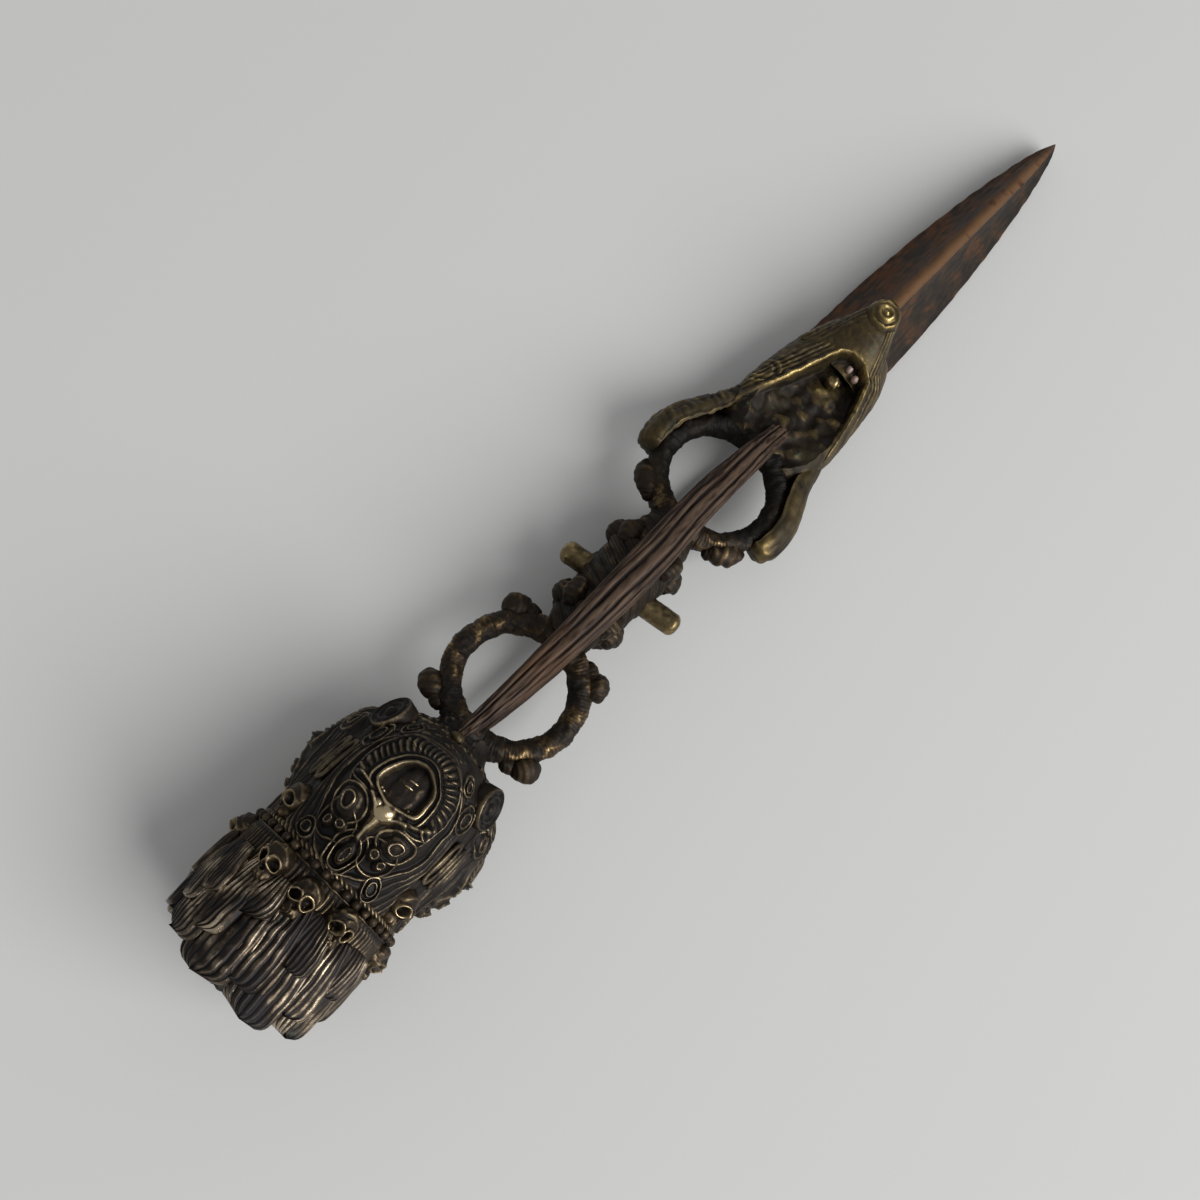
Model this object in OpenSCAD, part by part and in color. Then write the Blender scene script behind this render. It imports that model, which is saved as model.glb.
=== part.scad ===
// Three-edged ritual dagger lying on its side, front face up.
// Built along +X from the hair end to the blade tip, then laid down by lay().
// Angles round the long axis are counted from the front (+Z) towards -Y.

/* [Head] */
// Length of the hair crown, from its end to the back of the head
hair_len = 24; // [20:0.5:30]
// Length of the head, from the hair to the neck
head_len = 33; // [30:0.5:40]
// Largest radius of the head block between the faces
head_r = 15; // [13:0.5:17]
// Radius of the head block at the neck
neck_r = 8; // [7:0.5:9]
// Radius of each face's rounded form
mask_r = 14; // [13:0.25:15]
// How far each face's centre stands off the long axis
mask_off = 5; // [4.5:0.25:6.5]
// Place of a face's middle along the head, as a share of the head's length
mask_place = 0.485; // [0.47:0.005:0.52]
// Half of the angle that one face covers
mask_half_angle = 50; // [44:1:54]

/* [Crown] */
// Width of the crown band along the axis
band_w = 9; // [7:0.5:11]
// Thickness of the crown band
band_t = 1.2; // [0.8:0.1:2]
// Radius of a crown skull's dome
skull_r = 3.2; // [2.4:0.1:3.6]
// Radius of a bead on the diadem
bead_r = 0.8; // [0.5:0.05:1]
// Number of beads on the diadem
bead_count = 42; // [24:1:48]

/* [Hair] */
// Number of hair locks in each tier
lock_count = 10; // [9:1:13]
// Half width of a lock of the end tier at its fullest place
lock_half_w = 5.2; // [4:0.1:5.6]
// Half thickness of a hair lock
lock_half_t = 1.7; // [1.2:0.1:2]
// Station of the longest locks' tips, on the front and back
lock_tip = 0.8; // [0.5:0.1:2]
// How much shorter the locks on the two sides are
lock_swing = 3.6; // [0:0.2:5]

/* [Rings] */
// Centre-line radius of the ring next to the head
lower_ring_r = 12.6; // [11:0.2:14]
// Centre-line radius of the ring next to the blade
upper_ring_r = 13.2; // [12:0.2:14.4]
// Radius of the round section of both rings
ring_tube_r = 2.3; // [1.8:0.1:2.8]
// Radius of a knob on a ring
knob_r = 2.7; // [2:0.1:3.2]
// Length of neck between the head and the lower ring
neck_len = 1.6; // [1:0.1:4]
// Length of the knot between the two rings
knot_len = 31; // [28:0.5:36]
// Radius of the knot at its middle
knot_r = 7.2; // [6:0.1:8]

/* [Cross rod] */
// Radius of the rod that crosses the knot
rod_r = 2.4; // [1.8:0.1:2.8]
// Length of the rod from end to end
rod_len = 28; // [24:0.5:34]
// Skew of the rod from square to the long axis, in degrees
rod_skew = 10; // [0:1:14]
// Offset of the rod's middle towards the right side
rod_shift = 1; // [0:0.5:2]

/* [Iron bars] */
// Half width of a bar at its fullest place
bar_half_w = 3.7; // [3:0.1:4.2]
// Half thickness of a bar at its fullest place
bar_half_t = 2.2; // [1.6:0.1:2.6]

/* [Makara] */
// Length of the makara head from the upper ring's centre line to its muzzle edge
makara_len = 36; // [33:0.5:40]
// Half width of the makara head
makara_half_w = 12.6; // [11.5:0.2:14]
// Half height of the makara head, front to back
makara_half_h = 8; // [7.4:0.2:8.6]
// Radius of the boss on the front snout
boss_r = 3.3; // [2.6:0.1:3.8]
// Thickness of the jaw flaps outside the ring
jaw_t = 4.4; // [3:0.2:5]

/* [Blade] */
// Length of the blade from its shoulder to the tip
blade_len = 90; // [70:1:120]
// Radius from the axis to a blade edge at the shoulder
blade_r = 10.9; // [9:0.1:12]
// Thickness of a blade edge
blade_edge = 1; // [0.6:0.1:1.6]
// How far the blade's shoulder is set inside the muzzle
blade_set = 4; // [3:0.5:6]
// Width of the square tang inside the makara head
tang_w = 4; // [3:0.2:4.6]
// Length of the tang
tang_len = 20; // [14:1:24]

/* [Hidden] */
$fn = 64;

// Clearance between an iron piece and the brass that holds it
fit_gap = 0.05;
// Number of faces, skulls on the brow of one face, and their spacing in degrees
face_count = 3;
face_step = 360 / face_count;
brow_skulls = 3;
skull_step = 28;

// Stations along the axis, each from the piece before it
head_x = hair_len;
neck_x = head_x + head_len;
mask_x = head_x + head_len * mask_place;
lower_ring_x = neck_x + neck_len + lower_ring_r + ring_tube_r;
knot_x = lower_ring_x + lower_ring_r + ring_tube_r;
knot_mid_x = knot_x + knot_len * 0.465;
upper_ring_x = knot_x + knot_len + upper_ring_r + ring_tube_r;
makara_x = upper_ring_x + upper_ring_r;
muzzle_x = makara_x + makara_len;
shoulder_x = muzzle_x - blade_set;
tip_x = shoulder_x + blade_len;
rim_x = muzzle_x - makara_len * 0.236;
throat_wall = 1.4;
throat_floor = tang_w / 2 + throat_wall;
lip_r = 0.9;

// The dagger rests on two faces and on the lip at the back of the makara head
head_drop = mask_off * cos(60) + mask_r;
rim_drop = makara_half_h + lip_r * 0.9;
slope = atan((head_drop - rim_drop) / (rim_x - mask_x));
lift = mask_x * sin(slope) + head_drop * cos(slope);
mid_x = ((tip_x + lock_tip) * cos(slope) - head_drop * sin(slope)) / 2;

// Lays a piece down: slopes it to the tip, lifts it to the ground and centres it
module lay() translate([-mid_x, 0, lift]) rotate([0, slope, 0]) children();

// Puts children at a station, an angle round the axis and a radius, with +Z outwards
module out_at(x, angle, radius) translate([x, 0, 0]) rotate([angle, 0, 0]) translate([0, 0, radius]) children();

// Puts children on a face's round form: lon goes round the axis, lat towards the neck
module on_mask(lon, lat) translate([mask_x, 0, mask_off]) rotate([lon, 0, 0]) rotate([0, lat, 0])
    translate([0, 0, mask_r]) children();

// Turns a profile of [station, radius] points into a solid round the long axis
module turned(points, $fn = $fn) rotate([0, 90, 0]) rotate_extrude() polygon([for (p = points) [p[1], p[0]]]);

// A raised round ring lying on a flat surface, and one lying on a ball of radius ball_r below the origin
module ring_relief(radius, wire) rotate_extrude() translate([radius, 0]) circle(wire);
module ring_on_ball(radius, wire, ball_r) translate([0, 0, sqrt(ball_r * ball_r - radius * radius) - ball_r])
    ring_relief(radius, wire);

// A ring of the openwork, in the plane of the cross rod
module ring_at(x, radius, tube) translate([x, 0, 0]) rotate_extrude() translate([radius, 0]) circle(tube);

// Smooth curve through control rows: rows are lists of numbers, u runs over their count
function row_at(rows, i) = rows[max(0, min(len(rows) - 1, i))];
function through(rows, u) = let (i = floor(u), f = u - i, a = row_at(rows, i - 1), b = row_at(rows, i),
    c = row_at(rows, i + 1), d = row_at(rows, i + 2))
    b + f * 0.5 * ((c - a) + f * ((2 * a - 5 * b + 4 * c - d) + f * (3 * (b - c) + d - a)));

// Closed solid through sections that all have the same number of points, each capped from its middle
function middle(points) = [for (k = [0:2]) [for (p = points) 1] * [for (p = points) p[k]] / len(points)];
module loft(sections) {
    n = len(sections[0]);
    m = len(sections);
    points = [for (s = sections) each s, middle(sections[0]), middle(sections[m - 1])];
    polyhedron(points, [for (i = [0:n - 1]) let (k = (i + 1) % n) each [
        for (j = [0:m - 2]) each [[j * n + i, (j + 1) * n + k, j * n + k], [j * n + i, (j + 1) * n + i, (j + 1) * n + k]],
        [i, k, m * n],
        [(m - 1) * n + k, (m - 1) * n + i, m * n + 1]]]);
}

// Radius of the head block along its length: full at the hair, drawn in to the neck
function head_profile(s) = neck_r + (head_r - neck_r) * sqrt(1 - pow(s, 4));

head_steps = 14;
head_outline = concat([for (i = [0:head_steps]) [head_x + head_len * i / head_steps, head_profile(i / head_steps)]],
    [[neck_x, 0]]);
module head_block() turned(concat([[head_x, 0]], head_outline));

// The block with everything inside the hair's root before it, which the faces are cut back to
module head_space() turned(concat([[0, 0], [0, head_r]], head_outline));

module head_core() color("#4a3a26") lay() {
    head_block();
    hair_root();
}

// One face: a rounded mask with ringed eyes, brow volutes, third eye, nose and open mouth
eye_lon = 23;
eye_lat = -18;
mouth_lat = 11;
mouth_r = 3.9;
module mask_form(half) intersection() {
    translate([mask_x, 0, mask_off]) sphere(mask_r);
    wedge(half);
}
module face(angle) lay() rotate([angle, 0, 0]) difference() {
    union() {
        mask_form(mask_half_angle);
        for (side = [-1, 1]) {
            on_mask(side * eye_lon, eye_lat) eye();
            on_mask(side * (eye_lon - 7), eye_lat - 14) brow(side);
            on_mask(side * 9, -3) sphere(1.3);
        }
        on_mask(0, -43) eye();
        on_mask(0, -4) sphere(2.1);
        on_mask(0, -13) translate([-3, 0, -0.8]) rotate([0, 98, 0]) cylinder(h = 6, r1 = 1, r2 = 1.7);
        on_mask(0, mouth_lat) {
            ring_on_ball(mouth_r, 0.8, mask_r);
            ring_on_ball(mouth_r + 1.5, 0.4, mask_r);
        }
    }
    on_mask(0, mouth_lat) difference() {
        sphere(mouth_r - 0.7);
        translate([0, 0, -2.4]) sphere(2.1);
    }
    head_space();
}

// Half-angle wedge round the long axis that limits a face
module wedge(half) rotate([90, 0, 90]) linear_extrude(tip_x)
    polygon([[0, 0], [-60 * sin(half), 60 * cos(half)], [-60 * sin(half), 70], [60 * sin(half), 70],
        [60 * sin(half), 60 * cos(half)]]);

module eye() {
    ring_on_ball(2, 0.5, mask_r);
    sphere(1.1);
}

module brow(side) {
    sphere(1.6);
    translate([0.6, side * 2.4, -0.3]) sphere(1.2);
}

module face_front() color("#6b5230") face(0);
module face_left() color("#5e4829") face(-face_step);
module face_right() color("#5e4829") face(face_step);

// Rolls of the beard round the chin: latitude, and section radius as a share of the face's radius
beard_half_angle = 44;
beard_rolls = [[46, 0.15], [62, 0.164]];
module beard() for (roll = beard_rolls)
    translate([mask_x + mask_r * sin(roll[0]), 0, mask_off]) rotate([0, 90, 0]) rotate([0, 0, 180 - beard_half_angle])
        rotate_extrude(angle = 2 * beard_half_angle) translate([mask_r * cos(roll[0]), 0]) circle(mask_r * roll[1]);
module beards() color("#6b5230") lay() difference() {
    for (i = [0:face_count - 1]) rotate([i * face_step, 0, 0]) beard();
    head_block();
    mask_seats();
}

// Ears between the faces: a long loop lying on the head block, and a ringed disc under it
loop_len = 7;
loop_r = 1.9;
loop_wire = 0.75;
disc_x = neck_x - 7.5;
disc_r = 4.2;
module between_faces() for (i = [0:face_count - 1]) rotate([(i + 0.5) * face_step, 0, 0]) children();

module ear_loops() color("#7d6238") lay() difference() {
    between_faces() translate([mask_x - loop_len / 2, 0, head_r + loop_wire * 0.3]) {
        for (end = [0, 1]) translate([end * loop_len, 0, 0]) rotate([0, 0, 90 + end * 180])
            rotate_extrude(angle = 180) translate([loop_r, 0]) circle(loop_wire);
        for (side = [-1, 1]) translate([0, side * loop_r, 0]) rotate([0, 90, 0]) cylinder(h = loop_len, r = loop_wire);
    }
    head_block();
    mask_seats();
}

module mask_seats() for (i = [0:face_count - 1]) rotate([i * face_step, 0, 0]) mask_form(mask_half_angle);

module ear_discs() color("#6b5230") lay() difference() {
    between_faces() translate([disc_x, 0, 0]) rotate([0, 12, 0]) {
        translate([0, 0, head_r - 5]) cylinder(h = 4.6, r = disc_r);
        translate([0, 0, head_r - 0.4]) {
            ring_relief(disc_r - 0.4, 0.5);
            ring_relief(disc_r - 1.8, 0.45);
            sphere(1);
        }
    }
    head_block();
    mask_seats();
}

// Crown: a band over the joint of hair and head, a row of beads, and the skulls
band_x = head_x - band_w * 0.66;
band_profile = [[band_x, head_r], [band_x, head_r + band_t * 0.6], [band_x + band_w * 0.25, head_r + band_t],
    [band_x + band_w * 0.96, head_r + band_t], [band_x + band_w, head_r + band_t * 0.6], [band_x + band_w, head_r]];
module crown_ring() turned(band_profile);
// The band with everything inside it filled, which the skulls and beads are seated on
module crown_seat() turned(concat([[0, 0], [0, head_r]], band_profile, [[band_x + band_w, 0]]));
module crown_band() color("#57431f") lay() crown_ring();

// Half-round beads, each flat on the band
module bead() rotate_extrude() intersection() {
    circle(bead_r);
    square(bead_r);
}
module diadem_beads() color("#8a6f42") lay() for (i = [0:bead_count - 1])
    out_at(band_x + band_w * 0.96 - bead_r - 0.1, i * 360 / bead_count, head_r + band_t) bead();

// Places of the skulls: a brow row on each face, and one lower down between two faces
skull_x = band_x + band_w * 0.25;
skull_sink = 0.1;
module brow_skull_row() for (i = [0:face_count - 1], j = [0:brow_skulls - 1])
    out_at(skull_x + abs(j - 1) * 0.8, i * face_step + (j - 1) * skull_step, head_r - skull_sink) children();
module side_skull_row() for (i = [0:face_count - 1])
    out_at(band_x + band_w + skull_r + 0.1, (i + 0.5) * face_step, head_r - 1.3) children();

module crown_skulls() color("#8a6f42") lay() {
    difference() {
        brow_skull_row() skull();
        crown_seat();
    }
    difference() {
        side_skull_row() skull();
        head_block();
        turned([[0, 0], [0, head_r * 1.5], [band_x + band_w, head_r * 1.5], [band_x + band_w, 0]]);
    }
}

// A skull with its dome towards the face and its teeth towards the hair
module skull() difference() {
    union() {
        sphere(skull_r);
        translate([-skull_r * 0.95, 0, -1.3]) cylinder(h = 3, r = skull_r * 0.55);
        for (side = [-1, 1]) socket(side) ring_on_ball(skull_r * 0.3, 0.28, skull_r);
    }
    for (side = [-1, 1]) socket(side) translate([0, 0, -skull_r * 0.3]) cylinder(h = skull_r, r = skull_r * 0.22);
}
module socket(side) rotate([side * 24, -16, 0]) translate([0, 0, skull_r]) children();

// Hair: a dished block and three tiers of tongue-shaped locks, longest on the front and back
hair_tip = lock_tip + lock_swing + 0.8;
module hair_block() turned([[hair_tip + 3, 0], [hair_tip + 1, head_r * 0.6], [hair_tip, head_r * 0.8], [hair_tip + 0.6, head_r],
    [hair_tip + 3, head_r + 0.7], [hair_tip + 7, head_r + 0.3], [band_x, head_r], [band_x, 0]]);
function lock_end(angle) = lock_tip + lock_swing * pow(sin(angle), 2);
module hair_root() turned([[band_x, 0], [band_x, head_r], [head_x, head_r], [head_x, 0]]);

module lock_ball(x, z, radius, flat) translate([x, 0, z]) scale([1, 1, flat]) sphere(radius, $fn = 10);
module lock(length, half_w, half_t) {
    flat = half_t / half_w;
    for (part = [[0, 0, 0.6, 0.5, 0.5, 1], [0.5, 0.5, 1, 1, -0.4, 0.72]]) hull() {
        lock_ball(-length * part[0], part[1], half_w * part[2], flat);
        lock_ball(-length * part[3], part[4], half_w * part[5], flat);
    }
}

lock_root = band_x - 0.5;
module hair() color("#3a2d1c") lay() difference() {
    union() {
        hair_block($fn = 36);
        for (i = [0:lock_count - 1]) let (a = (i + 0.5) * 360 / lock_count, b = i * 360 / lock_count) {
            out_at(lock_root, a, head_r) lock(lock_root - lock_half_w * 0.72 - lock_end(a), lock_half_w, lock_half_t);
            out_at(band_x, b, head_r + lock_half_t * 0.45)
                lock(band_x - lock_half_w * 0.58 - lock_end(b) - head_r * 0.32, lock_half_w * 0.8, lock_half_t * 0.9);
            out_at(band_x + lock_half_t, a, head_r + lock_half_t * 0.6)
                lock(head_r * 0.24, lock_half_w * 0.55, lock_half_t * 0.8);
        }
    }
    turned([[band_x, 0], [band_x, head_r * 1.5], [head_x + head_len, head_r * 1.5], [head_x + head_len, 0]], $fn = 36);
    brow_skull_row() skull_space();
}
module skull_space() {
    sphere(skull_r, $fn = 16);
    translate([-skull_r * 0.95, 0, -1.3]) cylinder(h = 3, r = skull_r * 0.6, $fn = 16);
}

// Neck: draws the head in to the lower ring
module neck_block() turned([[neck_x, 0], [neck_x, neck_r], [neck_x + neck_len, neck_r * 0.84],
    [neck_x + neck_len + ring_tube_r, neck_r * 0.7], [neck_x + neck_len + ring_tube_r, 0]]);
module neck_collar() color("#4a3a26") lay() difference() {
    neck_block();
    lower_hoop();
}

module lower_hoop() ring_at(lower_ring_x, lower_ring_r, ring_tube_r);
module upper_hoop() ring_at(upper_ring_x, upper_ring_r, ring_tube_r);
module lower_ring() color("#55422a") lay() lower_hoop();
module upper_ring() color("#5a4c30") lay() upper_hoop();

// Knobs at the quarters of a ring, each with a smaller bead beside it
module knobs(x, radius, angles) for (a = angles) translate([x, 0, 0]) {
    rotate([0, 0, a]) translate([radius + ring_tube_r + knob_r * 0.35, 0, 0]) sphere(knob_r);
    rotate([0, 0, a + (cos(a) > 0 ? 1 : -1) * (sin(a) > 0 ? -11 : 11)]) translate([radius + ring_tube_r, 0, 0])
        sphere(knob_r * 0.62);
}
module lower_ring_knobs() color("#6e5733") lay() difference() {
    knobs(lower_ring_x, lower_ring_r, [43, 133, -45, -129]);
    lower_hoop();
    neck_block();
}
module upper_ring_knobs() color("#6e6038") lay() difference() {
    knobs(upper_ring_x, upper_ring_r, [133, -133]);
    upper_hoop();
}

// Knot between the rings: a waisted core with rolled lobes, crossed by the rod
knot_start = lower_ring_x + lower_ring_r;
knot_end = upper_ring_x - upper_ring_r;
knot_full_r = knot_r + 0.2;
knot_shape = [[knot_start, knot_r * 0.61], [knot_x + knot_len * 0.13, knot_r * 0.83], [knot_mid_x, knot_r],
    [knot_x + knot_len * 0.74, knot_full_r], [knot_x + knot_len * 0.935, knot_r * 0.83], [knot_end, knot_r * 0.64]];
knot_steps = 20;
module knot_block() turned(concat([[knot_start, 0]],
    [for (i = [0:knot_steps]) through(knot_shape, i * (len(knot_shape) - 1) / knot_steps)], [[knot_end, 0]]));

// The rod is drawn down by rod_waist inside the knot; each end outside it is a full round peg
rod_round = 1.3;
rod_waist = 0.25;
// The pegs' ends lean with the rod, so their roots stand out by the lean and a gap
peg_gap = 0.3;
peg_clear = rod_r * tan(rod_skew) + peg_gap;
peg_root_left = -(knot_full_r + rod_shift) / cos(rod_skew) - peg_clear;
peg_root_right = (knot_full_r - rod_shift) / cos(rod_skew) + peg_clear;
module on_rod() translate([knot_mid_x, -rod_shift, 0]) rotate([0, 0, rod_skew]) rotate([90, 0, 0]) children();
function rod_end(side, angles) = [for (a = angles)
    [rod_r - rod_round * (1 - sin(a)), side * (rod_len / 2 - rod_round * (1 - cos(a)))]];
module cross_rod() color("#5d4f33") lay() on_rod() rotate_extrude() polygon(concat([[0, -rod_len / 2]],
    rod_end(-1, [0:15:90]), [[rod_r, peg_root_left], [rod_r - rod_waist, peg_root_left],
    [rod_r - rod_waist, peg_root_right], [rod_r, peg_root_right]], rod_end(1, [90:-15:0]), [[0, rod_len / 2]]));

module knot_core() color("#55482e") lay() difference() {
    knot_block();
    lower_hoop();
    upper_hoop();
    on_rod() cylinder(h = 4 * knot_r, r = rod_r - rod_waist + fit_gap, center = true);
    bar_solid();
    mirror([0, 0, 1]) bar_solid();
}

lobe_angles = [48, 90, 132, 228, 270, 312];
module knot_lobes() color("#6a5a36") lay() difference() {
    union() {
        for (a = lobe_angles) {
            out_at(knot_x + knot_len * 0.19, a, knot_r * 0.8) sphere(knot_r * 0.375);
            out_at(knot_x + knot_len * 0.735, a, knot_r * 0.92) sphere(knot_r * 0.39);
        }
    }
    knot_block();
    lower_hoop();
    upper_hoop();
}

// Iron bars: forged, bowed and grooved, from the neck over the knot into the makara's throat
// Each control row holds station, side offset, height, half width and half thickness
bar_x = neck_x + 0.8;
bar_rows = [for (row = [
    [bar_x, 0.2, neck_r * 0.9 + bar_half_t * 0.5, 0.35, 0.36],
    [lower_ring_x - ring_tube_r, -0.16, neck_r * 0.9 + bar_half_t, 0.65, 0.68],
    [knot_x - knot_len * 0.05, -0.32, knot_r + bar_half_t * 0.82, 0.865, 0.91],
    [knot_mid_x, -0.35, knot_r + bar_half_t, 1, 1],
    [upper_ring_x - upper_ring_r * 0.76, -0.16, knot_r + bar_half_t * 0.64, 0.92, 0.91],
    [upper_ring_x + upper_ring_r * 0.3, -0.27, throat_floor + bar_half_t * 1.64, 0.78, 0.82],
    [makara_x + makara_len * 0.125, -0.49, throat_floor + bar_half_t * 0.64, 0.57, 0.59]])
    [row[0], row[1] * bar_half_w, row[2], row[3] * bar_half_w, row[4] * bar_half_t]];
bar_steps = 22;
// Half outline of the section: across, up. The two notches are the grooves on the outer side.
bar_section = [[1, -0.2], [0.96, 0.35], [0.7, 0.86], [0.36, 0.98], [0.22, 0.62], [0.06, 1], [-0.2, 1], [-0.36, 0.66], [-0.5, 0.97],
    [-0.78, 0.8], [-0.97, 0.3], [-1, -0.25], [-0.72, -0.84], [0, -1], [0.74, -0.82]];
module bar_solid() loft([for (i = [0:bar_steps]) let (c = through(bar_rows, i * (len(bar_rows) - 1) / bar_steps),
    shrink = i == bar_steps ? 0.55 : 1)
    [for (p = bar_section) [c[0], c[1] + p[0] * c[3] * shrink, c[2] + p[1] * c[4] * shrink]]]);

module bar_front() color("#5d4a44") lay() bar_solid();
module bar_back() color("#5d4a44") lay() mirror([0, 0, 1]) bar_solid();

// Small brass drops under the lower ends of the bars, on the neck
toe_r = 1.3;
module bar_toes() color("#a5834a") lay() both_sides() difference() {
    translate([bar_x - toe_r / 2, bar_rows[0][1], neck_r * 0.9 + toe_r]) sphere(toe_r);
    translate([bar_x, -toe_r, 0]) cube([toe_r, 4 * toe_r, neck_r * 2]);
    head_block();
    neck_block();
}

// Makara head: a lofted body with a mouth pocket on the front and back
makara_rows = [
    [makara_x - makara_len * 0.044, makara_half_w * 0.74, makara_half_h * 0.52],
    [makara_x + makara_len * 0.083, makara_half_w * 0.92, makara_half_h * 0.74],
    [makara_x + makara_len * 0.278, makara_half_w, makara_half_h * 0.92],
    [makara_x + makara_len * 0.556, makara_half_w * 0.95, makara_half_h],
    [rim_x, makara_half_w * 0.88, makara_half_h],
    [muzzle_x - makara_len * 0.083, makara_half_w * 0.78, makara_half_h * 0.88],
    [muzzle_x, makara_half_w * 0.7, makara_half_h * 0.74]];
makara_steps = 12;
makara_sides = 28;
module makara_block() loft([for (i = [0:makara_steps]) let (c = through(makara_rows, i * (len(makara_rows) - 1) / makara_steps))
    [for (j = [0:makara_sides - 1]) let (a = j * 360 / makara_sides) [c[0], c[1] * cos(a), c[2] * sin(a)]]]);

// Mouth pocket on one side: wide at the throat, its corner near the muzzle. Places are shares
// of the makara's length from its ring end and of its half width.
pocket_r = makara_half_h * 0.5;
module pocket_ball(along, across, rise = 1, radius = pocket_r)
    translate([makara_x + makara_len * along, makara_half_w * across, throat_floor + pocket_r * rise]) sphere(radius, $fn = 24);
module mouth() {
    hull() {
        for (across = [0.4, -0.516]) pocket_ball(-0.083, across);
        for (across = [0.08, -0.4]) pocket_ball(0.333, across);
    }
    hull() {
        for (across = [0.08, -0.4]) pocket_ball(0.333, across);
        pocket_ball(0.647, -0.206, 1.1, pocket_r * 0.85);
        pocket_ball(0.597, -0.317, 2.25);
    }
}

// Lip: a bead that runs round the mouth on the body's surface, its places given in the same shares
lip_path = [for (p = [[0.055, 0.73], [0.25, 0.524], [0.445, 0.317], [0.653, 0.175], [0.753, -0.032], [0.736, -0.365],
    [0.636, -0.603], [0.417, -0.714], [0.222, -0.794], [0.055, -0.841]])
    [makara_x + makara_len * p[0], makara_half_w * p[1]]];
function makara_h(x, y) = let (u = lookup(x, [for (i = [0:len(makara_rows) - 1]) [makara_rows[i][0], i]]),
    c = through(makara_rows, u)) c[2] * sqrt(max(0, 1 - pow(y / c[1], 2)));
module lip() for (i = [0:len(lip_path) - 2]) hull() for (p = [lip_path[i], lip_path[i + 1]])
    translate([p[0], p[1], makara_h(p[0], p[1]) - 0.1]) sphere(lip_r, $fn = 10);
module both_sides() for (side = [0, 1]) mirror([0, 0, side]) children();

module makara_head() color("#6d6137") lay() difference() {
    union() {
        difference() {
            makara_block();
            both_sides() mouth();
        }
        both_sides() lip();
    }
    ring_at(upper_ring_x, upper_ring_r, ring_tube_r + fit_gap, $fn = 40);
    teeth(tooth_r + fit_gap, $fn = 20);
    pearls(pearl_r + fit_gap, $fn = 24);
    both_jaws() jaw_body($fn = 40);
    tang(tang_w + 2 * fit_gap, tang_len + fit_gap);
    blade_fins(fit_gap);
}

// Jaw flaps: petals of round section that sheathe the upper ring from outside
jaw_start = 34;
jaw_end = 104;
jaw_stand = 2.2;
jaw_lip = 0.9;
module jaw_body() translate([upper_ring_x, 0, 0]) {
    rotate([0, 0, jaw_start]) rotate_extrude(angle = jaw_end - jaw_start)
        translate([upper_ring_r + jaw_stand, 0]) circle(jaw_t);
    rotate([0, 0, jaw_end]) translate([upper_ring_r + jaw_stand, 0, 0]) rotate([-90, 0, 0]) {
        translate([0, 0, -0.4]) cylinder(h = jaw_t * 0.6 + 0.4, r1 = jaw_t * 0.96, r2 = jaw_t * 0.75);
        translate([0, 0, jaw_t * 0.6]) cylinder(h = jaw_t * 0.3, r1 = jaw_t * 0.75, r2 = jaw_t * 0.35);
    }
}
module both_jaws() for (side = [0, 1]) mirror([0, side, 0]) children();
module jaw() difference() {
    jaw_body();
    upper_hoop();
    translate([upper_ring_x, 0, 0]) cylinder(h = 4 * jaw_t, r = upper_ring_r + jaw_lip, center = true);
}
module jaw_left() color("#77683c") lay() jaw();
module jaw_right() color("#77683c") lay() mirror([0, 1, 0]) jaw();

// Snouts: hoods from the mouth corner over the blade's root, each ending in a ringed boss
snout_base_x = rim_x + makara_len * 0.128;
boss_x = muzzle_x + boss_r * 0.73;
ridge_r = boss_r * 0.18;
module snout(boss_z, radius, crest_z, flip) difference() {
    union() {
        hull() {
            translate([boss_x, 0, boss_z]) sphere(radius, $fn = 24);
            translate([snout_base_x - boss_r * 0.3, 0, crest_z]) sphere(boss_r * 0.73, $fn = 14);
            for (y = [-1, 1]) translate([snout_base_x, y * makara_half_w * 0.5, makara_half_h * 0.5])
                sphere(boss_r * 0.79, $fn = 14);
        }
        translate([boss_x, 0, boss_z]) rotate([0, -8, 0]) translate([0, 0, radius * 0.85])
            rotate_extrude($fn = 20) translate([radius * 0.55, 0]) circle(ridge_r, $fn = 8);
        for (y = [-1, 1], k = [0:3]) hull() {
            translate([boss_x - boss_r * (0.3 + 0.39 * k), y * (radius * 0.92 + boss_r * 0.15 * k), boss_z - boss_r * 0.12 * k])
                sphere(ridge_r, $fn = 8);
            translate([snout_base_x + boss_r * (0.55 - 0.33 * k), y * makara_half_w * 0.62, makara_half_h * (0.52 + 0.1 * k)])
                sphere(ridge_r, $fn = 8);
        }
    }
    makara_block();
    mirror([0, 0, flip]) blade_fins(fit_gap);
}
module snout_front() color("#6d6137") lay() snout(blade_r * 0.89, boss_r, makara_half_h * 0.85, 0);
module snout_back() color("#6d6137") lay() mirror([0, 0, 1])
    snout(blade_r * 0.42, boss_r * 0.75, makara_half_h * 0.625, 1);

// Teeth along the mouth corner, and the ball of the tongue on each side
tooth_r = 0.8;
pearl_r = 1.7;
module teeth(radius) both_sides() for (p = [[0.692, -0.413], [0.722, -0.206]])
    translate([makara_x + makara_len * p[0], makara_half_w * p[1], throat_floor + pocket_r * 0.55]) sphere(radius);
module pearls(radius) both_sides()
    translate([makara_x + makara_len * 0.583, -makara_half_w * 0.175, throat_floor + pocket_r * 0.3]) sphere(radius);
module makara_teeth() color("#b9a18c") lay() teeth(tooth_r);
module mouth_pearls() color("#9b8046") lay() pearls(pearl_r);

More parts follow.
